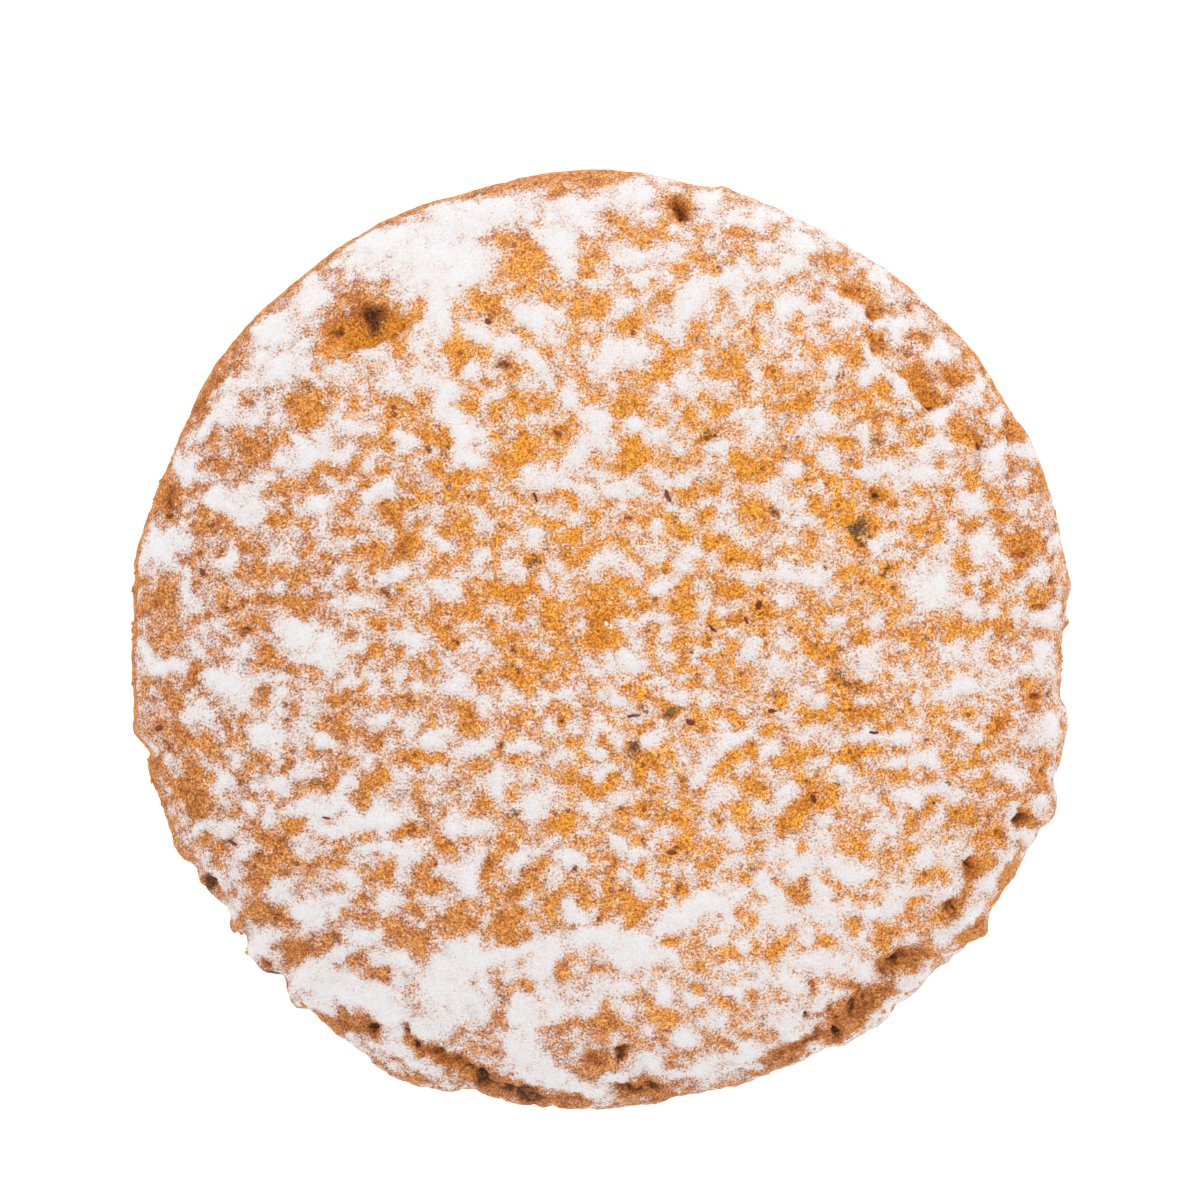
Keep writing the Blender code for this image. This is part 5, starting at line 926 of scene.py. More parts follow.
def add_colours(at):
    """Four fields, each from 0 to 1: golden, the toasting with painted shade added, browned and haze."""
    from_sun = np.hypot(at.plain[..., 0] - 2.0, at.plain[..., 1] - 20.0)
    sunny = 0.4 * smooth_step(30.0, 8.0, from_sun)
    at.golden = 1.0 - (1.0 - oval_field(at.x, at.y, GOLDEN, GOLDEN_POWER)) * (1.0 - sunny)
    # shade is painted shade: darker in pores and cracks, and on the near rim, which faces away from the key
    # light. The torn part is the torn crumb's own darker colour.
    shade = (
        0.6 * smooth_step(0.2, 0.7, at.pore) + 0.4 * smooth_step(0.2, 0.8, at.cracks)
        + at.torn * (0.2 + 0.85 * smooth_step(-0.05, 0.5, at.shred)) + 0.24 * at.near * at.rim
    )
    # So the toasting field holds the toasted marks and torn crumb, and painted shade as well.
    at.toast = np.clip(at.marks + shade, 0.0, 1.0)
    left = 0.8 * smooth_step(4.0, -34.0, at.plain[..., 0] + 0.4 * at.plain[..., 1])
    outer = (1.0 - 0.4 * at.right) * smooth_step(*BROWN_BAND, at.radius)
    outer = outer + smooth_step(*BROWN_WALL_BAND, at.height) + 0.8 * at.torn
    at.browned = np.clip(left + outer, 0.0, 1.0)
    clear = at.lift * (1.0 - at.torn) * (1.0 - at.sunk) * (1.0 - at.marks)
    veil = (0.05 + 0.04 * at.right) * smooth_step(0.1, 0.7, at.sugar)
    at.haze = (0.01 + (0.04 - 0.01 * at.near) * at.far_out + veil) * clear


def read_surface(context, cells):
    """The surface as the settings in the sidebar have it."""
    crust, glaze = context.scene.lebkuchen_crust, context.scene.lebkuchen_glaze
    return biscuit_surface(cells, crust.relief / MM, crust.pores, glaze.thickness / MM)


def to_frame(context, points):
    """Points in millimetres as places in the frame, stretched so that the crust fills the solid's box."""
    surface = read_surface(context, CRUST_CELLS)
    crust = (surface.mean + surface.normal * surface.fine[..., None]).reshape(-1, 3)
    low, high = crust.min(0), crust.max(0)
    target_low, target_high = np.array(CAD_LOW), np.array(CAD_HIGH)
    return target_low + (points - low) * (target_high - target_low) / (high - low)


def disc_map(reach, angle, place):
    """Places on a disc of the bake map: its middle and radius are in place, reach runs from 0 to 1."""
    middle_x, middle_y, size = place
    return np.stack([middle_x + size * reach * np.cos(angle), middle_y + size * reach * np.sin(angle)], -1)


def underside(edge, edge_angle, first):
    """Points, triangles and reach and angle of each point that close the base from its edge inwards.

    edge holds the numbers of the grid's outer points, anticlockwise. Three rings each have half as
    many points as the one outside them, evenly spaced rings run in from there, and a fan closes the
    middle. first is the number of the first new point.
    """
    triangles, reaches, angles = [], [np.ones(len(edge))], [edge_angle]
    ring, ring_angle = edge, edge_angle
    for share in (0.99, 0.975, 0.95):
        ring_angle = ring_angle[::2]
        inner = first + np.arange(len(ring_angle))
        first += len(inner)
        start, half_way, end = ring[::2], ring[1::2], np.roll(ring[::2], -1)
        next_inner = np.roll(inner, -1)
        triangles += [
            np.stack([start, inner, half_way], -1),
            np.stack([half_way, inner, next_inner], -1),
            np.stack([half_way, next_inner, end], -1),
        ]
        reaches.append(np.full(len(inner), share))
        angles.append(ring_angle)
        ring = inner
    for share in np.linspace(0.88, 0.06, 12):
        inner = first + np.arange(len(ring))
        first += len(inner)
        end, next_inner = np.roll(ring, -1), np.roll(inner, -1)
        triangles += [np.stack([ring, inner, next_inner], -1), np.stack([ring, next_inner, end], -1)]
        reaches.append(np.full(len(inner), share))
        angles.append(ring_angle)
        ring = inner
    triangles.append(np.stack([ring, np.full(len(ring), first), np.roll(ring, -1)], -1))
    reaches.append(np.zeros(1))
    angles.append(np.zeros(1))
    return np.concatenate(triangles), np.concatenate(reaches), np.concatenate(angles)


# ---------------------------------------------------------------------------------------------
# Meshes.
# ---------------------------------------------------------------------------------------------


def make_piece(name, points, triangles, places, fields, material):
    """Makes a smooth mesh object of whole arrays and lets it ride on the biscuit's body.

    places is the bake-map place of each triangle's corners, and fields are values of each point.
    """
    mesh = bpy.data.meshes.new(name)
    mesh.vertices.add(len(points))
    mesh.vertices.foreach_set("co", np.asarray(points, np.float32).reshape(-1))
    mesh.loops.add(triangles.size)
    mesh.loops.foreach_set("vertex_index", triangles.astype(np.int32).reshape(-1))
    mesh.polygons.add(len(triangles))
    mesh.polygons.foreach_set("loop_start", np.arange(0, triangles.size, 3, dtype=np.int32))
    mesh.update(calc_edges=True)
    mesh.uv_layers.new(name="OFBake").data.foreach_set("uv", places.astype(np.float32).reshape(-1))
    for field, values in fields.items():
        attribute = mesh.attributes.new(field, "FLOAT", "POINT")
        attribute.data.foreach_set("value", np.asarray(values, np.float32).reshape(-1))
    if mesh.validate():
        raise RuntimeError(f"the mesh of {name} isn't sound")
    mesh.shade_smooth()
    mesh.materials.append(material)
    piece = bpy.data.objects.new(name, mesh)
    bpy.context.scene.collection.objects.link(piece)
    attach(piece, BODY)
    return piece


# The fields that the crust and the glaze carry, with the value of each on the underside.
UNDER_VALUES = {"sugar": -1.0, "haze": 0.0, "golden": 0.15, "toast": 0.0, "spice": 0.0, "browned": 0.8}
FIELDS = tuple(UNDER_VALUES)


def make_crust(context):
    """The closed biscuit: the folded grid for its top and side, and rings for its flat underside."""
    surface = read_surface(context, CRUST_CELLS)
    top = (surface.mean + surface.normal * surface.fine[..., None]).reshape(-1, 3)
    number = np.arange((CRUST_CELLS + 1) ** 2).reshape(CRUST_CELLS + 1, CRUST_CELLS + 1)
    edge = np.concatenate([number[0, :-1], number[:-1, -1], number[-1, :0:-1], number[:0:-1, 0]])
    faces, reach, angle = underside(edge, surface.angle.reshape(-1)[edge], len(top))
    spread = np.linalg.norm(top[edge, :2], axis=1)
    order = np.argsort(surface.angle.reshape(-1)[edge])
    across = np.interp(angle, surface.angle.reshape(-1)[edge][order], spread[order], period=2.0 * math.pi)
    base = np.stack([across * reach * np.cos(angle), across * reach * np.sin(angle), 0.0 * reach], -1)
    points = to_frame(context, np.concatenate([top, base[len(edge):]]))

    top_faces = fold_triangles(CRUST_CELLS)
    top_places = disc_map(surface.reach, surface.angle, TOP_MAP).reshape(-1, 2)
    under = np.concatenate([edge, np.arange(len(top), len(points))])
    under_places = np.zeros((len(points), 2))
    under_places[under] = disc_map(reach, angle, UNDER_MAP)
    places = np.concatenate([top_places[top_faces], under_places[faces]])
    new = len(points) - len(top)
    fields = {f: np.append(getattr(surface, f), np.full(new, UNDER_VALUES[f])) for f in FIELDS}
    triangles = np.concatenate([top_faces, faces])
    piece = make_piece("biscuit_crust", points, triangles, places, fields, crust_material(context))
    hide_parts(NODE)


def closed_core(triangles, inside):
    """Adds points to a set so that a shell over it closes with two faces on every edge.

    An edge outside the set with a point of the set on each side would carry four faces, so its
    first end joins the set. The rule is used until no such edge is left.
    """
    ends = np.concatenate([triangles[:, [0, 1]], triangles[:, [1, 2]], triangles[:, [2, 0]]])
    facing = np.concatenate([triangles[:, 2], triangles[:, 0], triangles[:, 1]])
    ends = np.sort(ends, axis=1)
    order = np.lexsort((ends[:, 1], ends[:, 0]))
    ends, facing = ends[order], facing[order]
    paired = np.flatnonzero(np.all(ends[1:] == ends[:-1], axis=1))
    while True:
        open_edge = ~inside[ends[paired]].any(axis=1)
        bridge = open_edge & inside[facing[paired]] & inside[facing[paired + 1]]
        if not bridge.any():
            return inside
        inside[ends[paired[bridge], 0]] = True


def make_glaze(context):
    """The thin sugar glaze: a closed shell over every place where sugar lies, rooted in the crust.

    Points of the grid inside a patch are doubled, one on top and one at the root, and points round
    its edge lie at the root alone, so the shell closes there without a wall.
    """
    surface = read_surface(context, GLAZE_CELLS)
    triangles = fold_triangles(GLAZE_CELLS)
    sweet = surface.sweet.reshape(-1)
    inside = (sweet > -0.06) & (surface.reach.reshape(-1) < 0.97)
    inside = closed_core(triangles, inside)
    kept = triangles[inside[triangles].any(axis=1)]
    normal = surface.normal.reshape(-1, 3)
    mean = surface.mean.reshape(-1, 3) - normal * surface.dip.reshape(-1, 1)
    top = mean + normal * np.where(inside, sweet, -GLAZE_ROOT)[:, None]
    root = mean - normal * GLAZE_ROOT
    doubled = np.flatnonzero(inside)
    twin = np.arange(len(top))
    twin[doubled] = len(top) + np.arange(len(doubled))
    points = to_frame(context, np.concatenate([top, root[doubled]]))
    faces = np.concatenate([kept, twin[kept][:, ::-1]])
    used = np.unique(faces)
    renumber = np.zeros(len(points), np.int64)
    renumber[used] = np.arange(len(used))

    top_places = disc_map(surface.reach, surface.angle, TOP_MAP).reshape(-1, 2)
    root_places = disc_map(surface.reach, surface.angle, UNDER_MAP).reshape(-1, 2)
    places = np.concatenate([top_places[kept], root_places[kept][:, ::-1]])
    fields = {}
    for field in FIELDS:
        values = getattr(surface, field).reshape(-1)
        fields[field] = np.append(values, values[doubled])[used]
    make_piece(
        "sugar_glaze", points[used], renumber[faces], places, fields,
        glaze_material(context),
    )


def ball(turns, rings):
    """A unit ball as turns by rings of triangles: points, triangles and the map place of each corner.

    A point at turn t and tilt s is (cos t sin s, sin t sin s, cos s). The map is (t, s), unrolled.
    """
    turn = 2.0 * math.pi * np.arange(turns) / turns
    tilt = math.pi * np.arange(1, rings) / rings
    turn_grid, tilt_grid = np.meshgrid(turn, tilt)
    rows = [np.cos(turn_grid) * np.sin(tilt_grid), np.sin(turn_grid) * np.sin(tilt_grid), np.cos(tilt_grid)]
    points = np.concatenate([np.stack(rows, -1).reshape(-1, 3), [[0.0, 0.0, 1.0], [0.0, 0.0, -1.0]]])
    step, level = np.meshgrid(np.arange(turns), np.arange(rings - 2))
    after = (step + 1) % turns
    a, b = level * turns + step, level * turns + after
    c, d = a + turns, b + turns
    first, top, bottom = np.arange(turns), len(points) - 2, len(points) - 1
    last = (rings - 2) * turns + first
    faces = np.concatenate([
        np.stack([np.full(turns, top), first, (first + 1) % turns], -1),
        np.stack([a, c, d], -1).reshape(-1, 3),
        np.stack([a, d, b], -1).reshape(-1, 3),
        np.stack([last, np.full(turns, bottom), np.roll(last, -1)], -1),
    ])
    s, v = step.reshape(-1), level.reshape(-1) + 1
    columns = np.concatenate([
        np.stack([first + 0.5, first, first + 1], -1), np.stack([s, s, s + 1], -1),
        np.stack([s, s + 1, s + 1], -1), np.stack([first, first + 0.5, first + 1], -1),
    ])
    levels = np.concatenate([
        np.stack([0 * first, 0 * first + 1, 0 * first + 1], -1), np.stack([v, v + 1, v + 1], -1),
        np.stack([v, v + 1, v], -1), rings - 1 + np.stack([0 * first, 0 * first + 1, 0 * first], -1),
    ])
    return points, faces, np.stack([columns / turns, levels / rings], -1)


def stand_on(context, x, y):
    """Place and normal of the outermost surface, crust or glaze, at each X, Y of the plan."""
    surface = read_surface(context, CRUST_CELLS)
    height = np.maximum(surface.fine, surface.sweet - surface.dip)
    outer = (surface.mean + surface.normal * height[..., None]).reshape(-1, 3)
    upper = np.flatnonzero(surface.mean[..., 2].reshape(-1) > RIM_HEIGHT - 0.5)
    plan_x, plan_y = surface.plan.reshape(-1, 2)[upper].T
    nearest = [upper[np.argmin((plan_x - a) ** 2 + (plan_y - b) ** 2)] for a, b in zip(x, y)]
    return outer[nearest], surface.normal.reshape(-1, 3)[nearest]


def make_bits(context, name, rows, shape, material, seed):
    """Small loose bits joined into one piece: each a ball made uneven, flattened, bent and laid down.

    rows hold X, Y, length, width, thickness and turn. The ball's points are moved out by noise,
    scaled to the bit's half sizes, bent upwards by the square of their place along it, turned,
    and set on the surface along its normal. shape is the strength of the noise, the bend, how
    square the outline is, and how far the bit is sunk as a share of its thickness.
    """
    uneven, bend, square, sink = shape
    x, y, length, width, thick, turn = np.array(rows).T
    points, faces, places = ball(8, 4)
    count = len(x)
    spread = np.random.default_rng(seed).random((count, 4))
    seeds = np.arange(count)[:, None, None] * np.array([3.1, 5.3, 7.7])
    flat = points * (np.abs(points).max(1, keepdims=True) ** -square)
    body = flat[None] * (1.0 + uneven * noise(points[None] * 1.1 + seeds, 1.0, seed))[..., None]
    body = body * 0.5 * np.stack([length, width, thick], -1)[:, None]
    arch = bend * (2.0 * spread[:, 0, None] - 1.0) * body[..., 0] ** 2 / length[:, None]
    body[..., 2] += arch
    place, normal = stand_on(context, x, y)
    lean = normal + 0.25 * np.stack([spread[:, 1] - 0.5, spread[:, 2] - 0.5, 0.0 * x], -1)
    lean /= np.linalg.norm(lean, axis=1, keepdims=True)
    along = np.stack([np.cos(np.radians(turn)), np.sin(np.radians(turn)), 0.0 * x], -1)
    along -= lean * np.sum(along * lean, axis=1, keepdims=True)
    along /= np.linalg.norm(along, axis=1, keepdims=True)
    across = np.cross(lean, along)
    laid = body[..., :1] * along[:, None] + body[..., 1:2] * across[:, None] + body[..., 2:] * lean[:, None]
    laid += (place + lean * (0.5 - sink) * thick[:, None])[:, None]

    side = math.ceil(math.sqrt(count))
    cell = np.stack([np.arange(count) % side, np.arange(count) // side], -1)
    stretch = side / math.ceil(count / side)
    own = (cell[:, None, None] + 0.06 + 0.88 * places[None]) / side * (1.0, stretch)
    triangles = faces[None] + len(points) * np.arange(count)[:, None, None]
    fields = {"shade": np.repeat(spread[:, 3], len(points))}
    placed = to_frame(context, laid.reshape(-1, 3))
    make_piece(name, placed, triangles.reshape(-1, 3), own.reshape(-1, 3, 2), fields, material)


# ---------------------------------------------------------------------------------------------
# Materials.
# ---------------------------------------------------------------------------------------------


def add_node(tree, kind, inputs=None, **settings):
    """Adds a node. inputs gives an input's name or number a value, or a socket to link to it."""
    node = tree.nodes.new(kind)
    for key, value in settings.items():
        setattr(node, key, value)
    for key, value in (inputs or {}).items():
        if isinstance(value, bpy.types.NodeSocket):
            tree.links.new(value, node.inputs[key])
        else:
            node.inputs[key].default_value = value
    return node


def calculate(tree, operation, first, second=0.5, third=0.5):
    """A Math node's result."""
    values = {0: first, 1: second, 2: third}
    return add_node(tree, "ShaderNodeMath", values, operation=operation).outputs[0]


def blend(tree, share, first, second, mode="MIX"):
    """A colour that goes from first to second as share goes from 0 to 1."""
    sockets = {0: share, 6: first, 7: second}
    return add_node(tree, "ShaderNodeMix", sockets, data_type="RGBA", blend_type=mode).outputs[2]


def remap(tree, value, low, high, start=0.0, end=1.0):
    """start below low, end above high, and a smooth step between them."""
    sockets = {"Value": value, "From Min": low, "From Max": high, "To Min": start, "To Max": end}
    node = add_node(tree, "ShaderNodeMapRange", sockets, interpolation_type="SMOOTHSTEP")
    return node.outputs["Result"]


def speckle(tree, place, wavelength, detail, roughness):
    """Noise from 0 to 1, with its coarsest lumps one wavelength apart, in millimetres."""
    sockets = {"Vector": place, "Scale": 1.0 / (wavelength * MM), "Detail": detail, "Roughness": roughness}
    return add_node(tree, "ShaderNodeTexNoise", sockets).outputs[0]


def tones(tree, value, dark, middle, light):
    """A colour that runs from dark through middle to light as value goes from 0 to 1."""
    lower = blend(tree, remap(tree, value, 0.15, 0.5), dark, middle)
    return blend(tree, remap(tree, value, 0.5, 0.85), lower, light)


def new_group(name, inputs, outputs):
    """An empty shader node group with named sockets: its tree, its input node and its output node."""
    tree = bpy.data.node_groups.new(name, "ShaderNodeTree")
    for sockets, side in ((inputs, "INPUT"), (outputs, "OUTPUT")):
        for label, kind in sockets:
            tree.interface.new_socket(name=label, in_out=side, socket_type=f"NodeSocket{kind}")
    return tree, tree.nodes.new("NodeGroupInput").outputs, tree.nodes.new("NodeGroupOutput")


def finish_group(tree, out, results):
    """Links a group's results to its outputs."""
    for label, socket in results.items():
        tree.links.new(socket, out.inputs[label])
    return tree


@functools.lru_cache(maxsize=1)
def grain_group():
    """Baked grain: coarse and fine mottling, the gaps between the crumbs, which the crust darkens as
    painted shade, and the height of all.
    """
    outputs = [(label, "Float") for label in ("Coarse", "Fine", "Pores", "Freckles", "Height")]
    tree, given, out = new_group("Baked grain", [("Place", "Vector")], outputs)
    coarse = speckle(tree, given["Place"], 1.3, 3.0, 0.6)
    fine = speckle(tree, given["Place"], 0.36, 2.0, 0.7)
    cells = add_node(tree, "ShaderNodeTexVoronoi", {"Vector": given["Place"], "Scale": 1.0 / (0.42 * MM)})
    between = remap(tree, calculate(tree, "ADD", cells.outputs["Distance"], fine), 1.05, 1.4)
    lumps = calculate(tree, "MULTIPLY_ADD", fine, 0.6, calculate(tree, "MULTIPLY", coarse, 0.6))
    height = calculate(tree, "MULTIPLY_ADD", between, -0.3, lumps)
    dots = add_node(tree, "ShaderNodeTexVoronoi", {"Vector": given["Place"], "Scale": 1.0 / (1.05 * MM)})
    chosen = add_node(tree, "ShaderNodeSeparateColor", {"Color": dots.outputs["Color"]}).outputs[0]
    reach = remap(tree, chosen, 0.45, 1.0, 0.0, 0.3)
    freckles = remap(tree, calculate(tree, "SUBTRACT", reach, dots.outputs["Distance"]), -0.02, 0.07)
    results = {"Coarse": coarse, "Fine": fine, "Pores": between, "Freckles": freckles, "Height": height}
    return finish_group(tree, out, results)


@functools.lru_cache(maxsize=1)
def crust_group():
    """Colour of the baked crust: grained gold, tan where it browned, toasted and spiced places, and painted
    shade in hollows and on the near rim.
    """
    labels = ("Coarse", "Fine", "Pores", "Freckles", "Golden", "Toast", "Spice", "Browned")
    fields = [(label, "Float") for label in labels]
    colours = [
        (label, "Color")
        for label in (
            "Dark", "Middle", "Light", "Brown dark", "Brown", "Brown light", "Gold", "Char", "Spice tone",
        )
    ]
    tree, given, out = new_group("Baked crust", fields + colours, [("Color", "Color")])
    fine = calculate(tree, "MULTIPLY", given["Fine"], 2.1)
    grain = calculate(tree, "MULTIPLY_ADD", given["Coarse"], 1.5, fine)
    level = calculate(tree, "SUBTRACT", grain, 1.3)
    bright = tones(tree, level, given["Dark"], given["Middle"], given["Light"])
    brown = tones(tree, level, given["Brown dark"], given["Brown"], given["Brown light"])
    colour = blend(tree, given["Browned"], bright, brown)
    dull = blend(tree, 0.4, given["Gold"], given["Middle"])
    gold = blend(tree, remap(tree, level, -0.3, 0.8), dull, given["Gold"])
    colour = blend(tree, calculate(tree, "MULTIPLY", given["Golden"], 0.8), colour, gold)
    speck = remap(tree, given["Fine"], 0.35, 0.65)
    mottled = remap(tree, calculate(tree, "MULTIPLY_ADD", given["Spice"], 1.4, speck), 1.0, 1.45)
    colour = blend(tree, calculate(tree, "MULTIPLY", mottled, 0.85), colour, given["Spice tone"])
    # The toasting input also carries painted shade, so these steps darken the shaded pores, cracks, pits
    # and near rim towards brown dark and char, along with toasted places.
    uneven = calculate(tree, "MULTIPLY_ADD", given["Fine"], -1.0, 0.5)
    spread = calculate(tree, "MULTIPLY", given["Toast"], 0.8)
    burnt_and_shaded = calculate(tree, "MULTIPLY_ADD", uneven, spread, given["Toast"])
    colour = blend(tree, remap(tree, burnt_and_shaded, 0.0, 0.7, 0.0, 0.8), colour, given["Brown dark"])
    colour = blend(tree, remap(tree, burnt_and_shaded, 0.55, 1.05, 0.0, 0.95), colour, given["Char"])
    # Painted shade: the gaps between the crumbs are darkened towards brown dark.
    colour = blend(tree, calculate(tree, "MULTIPLY", given["Pores"], 0.5), colour, given["Brown dark"])
    colour = blend(tree, calculate(tree, "MULTIPLY", given["Freckles"], 0.75), colour, given["Brown dark"])
    colour = blend(tree, calculate(tree, "MULTIPLY", given["Freckles"], 0.35), colour, given["Char"])
    return finish_group(tree, out, {"Color": colour})


@functools.lru_cache(maxsize=1)
def dusting_group():
    """Sugar on a grained surface: how much of it is white, its fine height, and painted light and shade of
    its grains, tinted warm where crust shows between them.
    """
    inputs = [("Place", "Vector"), ("Sugar", "Float"), ("Haze", "Float"), ("Grit", "Float")]
    outputs = [("Mask", "Float"), ("Height", "Float"), ("Tint", "Color")]
    tree, given, out = new_group("Sugar dusting", inputs, outputs)
    stretched = add_node(
        tree, "ShaderNodeMapping", {"Vector": given["Place"], "Scale": (1.0, 1.15, 1.0)},
    ).outputs[0]
    powder = speckle(tree, stretched, 0.25, 1.0, 0.7)
    swing = calculate(tree, "MULTIPLY", calculate(tree, "SUBTRACT", powder, 0.5), given["Grit"])
    cover = remap(tree, given["Sugar"], 0.7, 1.5, 0.87, 1.0)
    grains = remap(tree, calculate(tree, "ADD", given["Sugar"], swing), 0.18, 0.93)
    thick = calculate(tree, "MULTIPLY", grains, cover)
    thin = calculate(tree, "SUBTRACT", 1.0, thick)
    mask = calculate(tree, "MULTIPLY_ADD", thin, given["Haze"], thick)
    fine = speckle(tree, given["Place"], 0.3, 1.0, 0.6)
    # Painted light and shade of the sugar grains: a warm darker colour and a bright colour, multiplied on,
    # strongest where the sugar is thin.
    sparkle = remap(tree, speckle(tree, given["Place"], 0.22, 1.0, 0.8), 0.3, 0.7)
    grain_shade_swatch = blend(tree, sparkle, (0.56, 0.37, 0.27, 1.0), (1.44, 1.55, 1.64, 1.0))
    grain_shade_and_tint = blend(tree, remap(tree, mask, 0.3, 1.0, 0.9, 0.08), (1.0, 1.0, 1.0, 1.0), grain_shade_swatch)
    return finish_group(tree, out, {"Mask": mask, "Height": fine, "Tint": grain_shade_and_tint})


def paint(colour):
    """A colour setting as the four numbers that a socket takes."""
    return (*colour, 1.0)


def new_material(name):
    """An empty material with its shader: the node tree, the shader and the place in the object."""
    material = bpy.data.materials.new(name)
    material.use_nodes = True
    tree = material.node_tree
    shader = tree.nodes["Principled BSDF"]
    return material, tree, shader, tree.nodes.new("ShaderNodeTexCoord").outputs["Object"]


def finish_shader(tree, shader, colour, roughness, height, depth):
    """Links colour, roughness and a bump whose full height is depth, in millimetres."""
    bump = add_node(tree, "ShaderNodeBump", {"Height": height, "Distance": depth * MM, "Strength": 1.0})
    tree.links.new(colour, shader.inputs["Base Color"])
    tree.links.new(roughness, shader.inputs["Roughness"])
    tree.links.new(bump.outputs[0], shader.inputs["Normal"])
    shader.inputs["Specular IOR Level"].default_value = 0.25


def frosted_material(context, name, lift, depth):
    """Crust with sugar on it, from the fields that the mesh carries. lift adds sugar everywhere."""
    crust, glaze = context.scene.lebkuchen_crust, context.scene.lebkuchen_glaze
    material, tree, shader, place = new_material(name)
    fields = {f: add_node(tree, "ShaderNodeAttribute", attribute_name=f).outputs["Fac"] for f in FIELDS}
    grain = add_node(tree, "ShaderNodeGroup", {"Place": place}, node_tree=grain_group())
    grained = {label: grain.outputs[label] for label in ("Coarse", "Fine", "Pores", "Freckles")}
    dough = {
        **grained, "Golden": fields["golden"], "Toast": fields["toast"], "Spice": fields["spice"],
        "Browned": fields["browned"], "Dark": paint(crust.dark), "Middle": paint(crust.middle),
        "Light": paint(crust.light), "Brown dark": paint(crust.brown_dark), "Brown": paint(crust.brown),
        "Brown light": paint(crust.brown_light), "Gold": paint(crust.gold), "Char": paint(crust.char),
        "Spice tone": paint(crust.spice),
    }
    bare = add_node(tree, "ShaderNodeGroup", dough, node_tree=crust_group())
    sugar = calculate(tree, "ADD", fields["sugar"], lift)
    dusted = {"Place": place, "Sugar": sugar, "Haze": fields["haze"], "Grit": glaze.grit}
    dusting = add_node(tree, "ShaderNodeGroup", dusted, node_tree=dusting_group())
    mask = dusting.outputs["Mask"]
    # Painted shade: the sugar colour runs from the shadow colour in the dips of the fine powder to white on
    # its high points.
    powder = remap(tree, dusting.outputs["Height"], 0.3, 0.7)
    white = blend(tree, powder, paint(glaze.shadow), paint(glaze.white))
    colour = blend(tree, mask, bare.outputs["Color"], white)
    # Multiplies on the painted light and shade of the grains.
    colour = blend(tree, 1.0, colour, dusting.outputs["Tint"], "MULTIPLY")
    dry = remap(tree, grain.outputs["Coarse"], 0.3, 0.7, 0.72, 0.9)
    roughness = calculate(tree, "MULTIPLY_ADD", mask, -0.14, dry)
    under = calculate(tree, "MULTIPLY", grain.outputs["Height"], remap(tree, mask, 0.2, 1.0, 1.0, 0.35))
    over = calculate(tree, "MULTIPLY", dusting.outputs["Height"], mask)
    height = calculate(tree, "MULTIPLY_ADD", over, 0.3, under)
    finish_shader(tree, shader, colour, roughness, height, depth)
    return material


def crust_material(context):
    """Baked crust with sugar dusted over it."""
    return frosted_material(context, "baked_crust", 0.0, 0.14)


def glaze_material(context):
    """Dry white glaze that thins out to dusted crust at its edges."""
    return frosted_material(context, "sugar_glaze", 0.04, 0.10)


def bit_material(name, dark, light, roughness, depth):
    """Grained colour of small bits, each a little darker or lighter than the next."""
    material, tree, shader, place = new_material(name)
    grain = add_node(tree, "ShaderNodeGroup", {"Place": place}, node_tree=grain_group())
    own = add_node(tree, "ShaderNodeAttribute", attribute_name="shade").outputs["Fac"]
    fine = calculate(tree, "SUBTRACT", grain.outputs["Fine"], 0.3)
    level = calculate(tree, "MULTIPLY_ADD", own, 0.6, fine)
    colour = blend(tree, remap(tree, level, 0.1, 0.9), paint(dark), paint(light))
    rough = remap(tree, grain.outputs["Coarse"], 0.3, 0.7, roughness - 0.08, roughness + 0.08)
    finish_shader(tree, shader, colour, rough, grain.outputs["Height"], depth)
    return material


# ---------------------------------------------------------------------------------------------
# Settings.
# ---------------------------------------------------------------------------------------------


def colour_setting(name, description, default):
    """A colour in the sidebar."""
    return FloatVectorProperty(
        name=name, description=description, default=default, min=0.0, max=1.0, size=3, subtype="COLOR",
    )


def size_setting(name, description, default):
    """A length in the sidebar, in metres."""
    return FloatProperty(
        name=name, description=description, default=default, min=0.0, precision=5, unit="LENGTH",
        subtype="DISTANCE",
    )


def number_setting(name, description, default):
    """A plain number in the sidebar."""
    return FloatProperty(name=name, description=description, default=default, min=0.0)


class CrustSettings(PropertyGroup):
    """Shape and colours of the baked crust."""

    relief: size_setting("Fine relief", "Height of the crust's fine bumps", 0.075 * MM)
    pores: IntProperty(name="Pores", description="Number of small scattered pores", default=420, min=0)
    dark: colour_setting("Dark", "Hollows of the golden crust", (0.52, 0.162, 0.012))
    middle: colour_setting("Middle", "Most of the golden crust", (0.79, 0.295, 0.022))
    light: colour_setting("Light", "High grains of the golden crust", (0.86, 0.395, 0.045))
    brown_dark: colour_setting("Brown dark", "Hollows of the browned crust", (0.33, 0.095, 0.014))
    brown: colour_setting("Brown", "Most of the browned crust", (0.60, 0.22, 0.045))
    brown_light: colour_setting("Brown light", "High grains of the browned crust", (0.74, 0.34, 0.10))
    gold: colour_setting("Gold", "Yellow-orange crumb that shows through", (0.82, 0.335, 0.026))
    # Char also serves as painted shade at the bottom of pits, cracks and other sunken places.
    char: colour_setting("Char", "Toasted and sunken places", (0.05, 0.02, 0.009))
    spice: colour_setting("Spice", "Grey-green spice specks", (0.055, 0.048, 0.03))


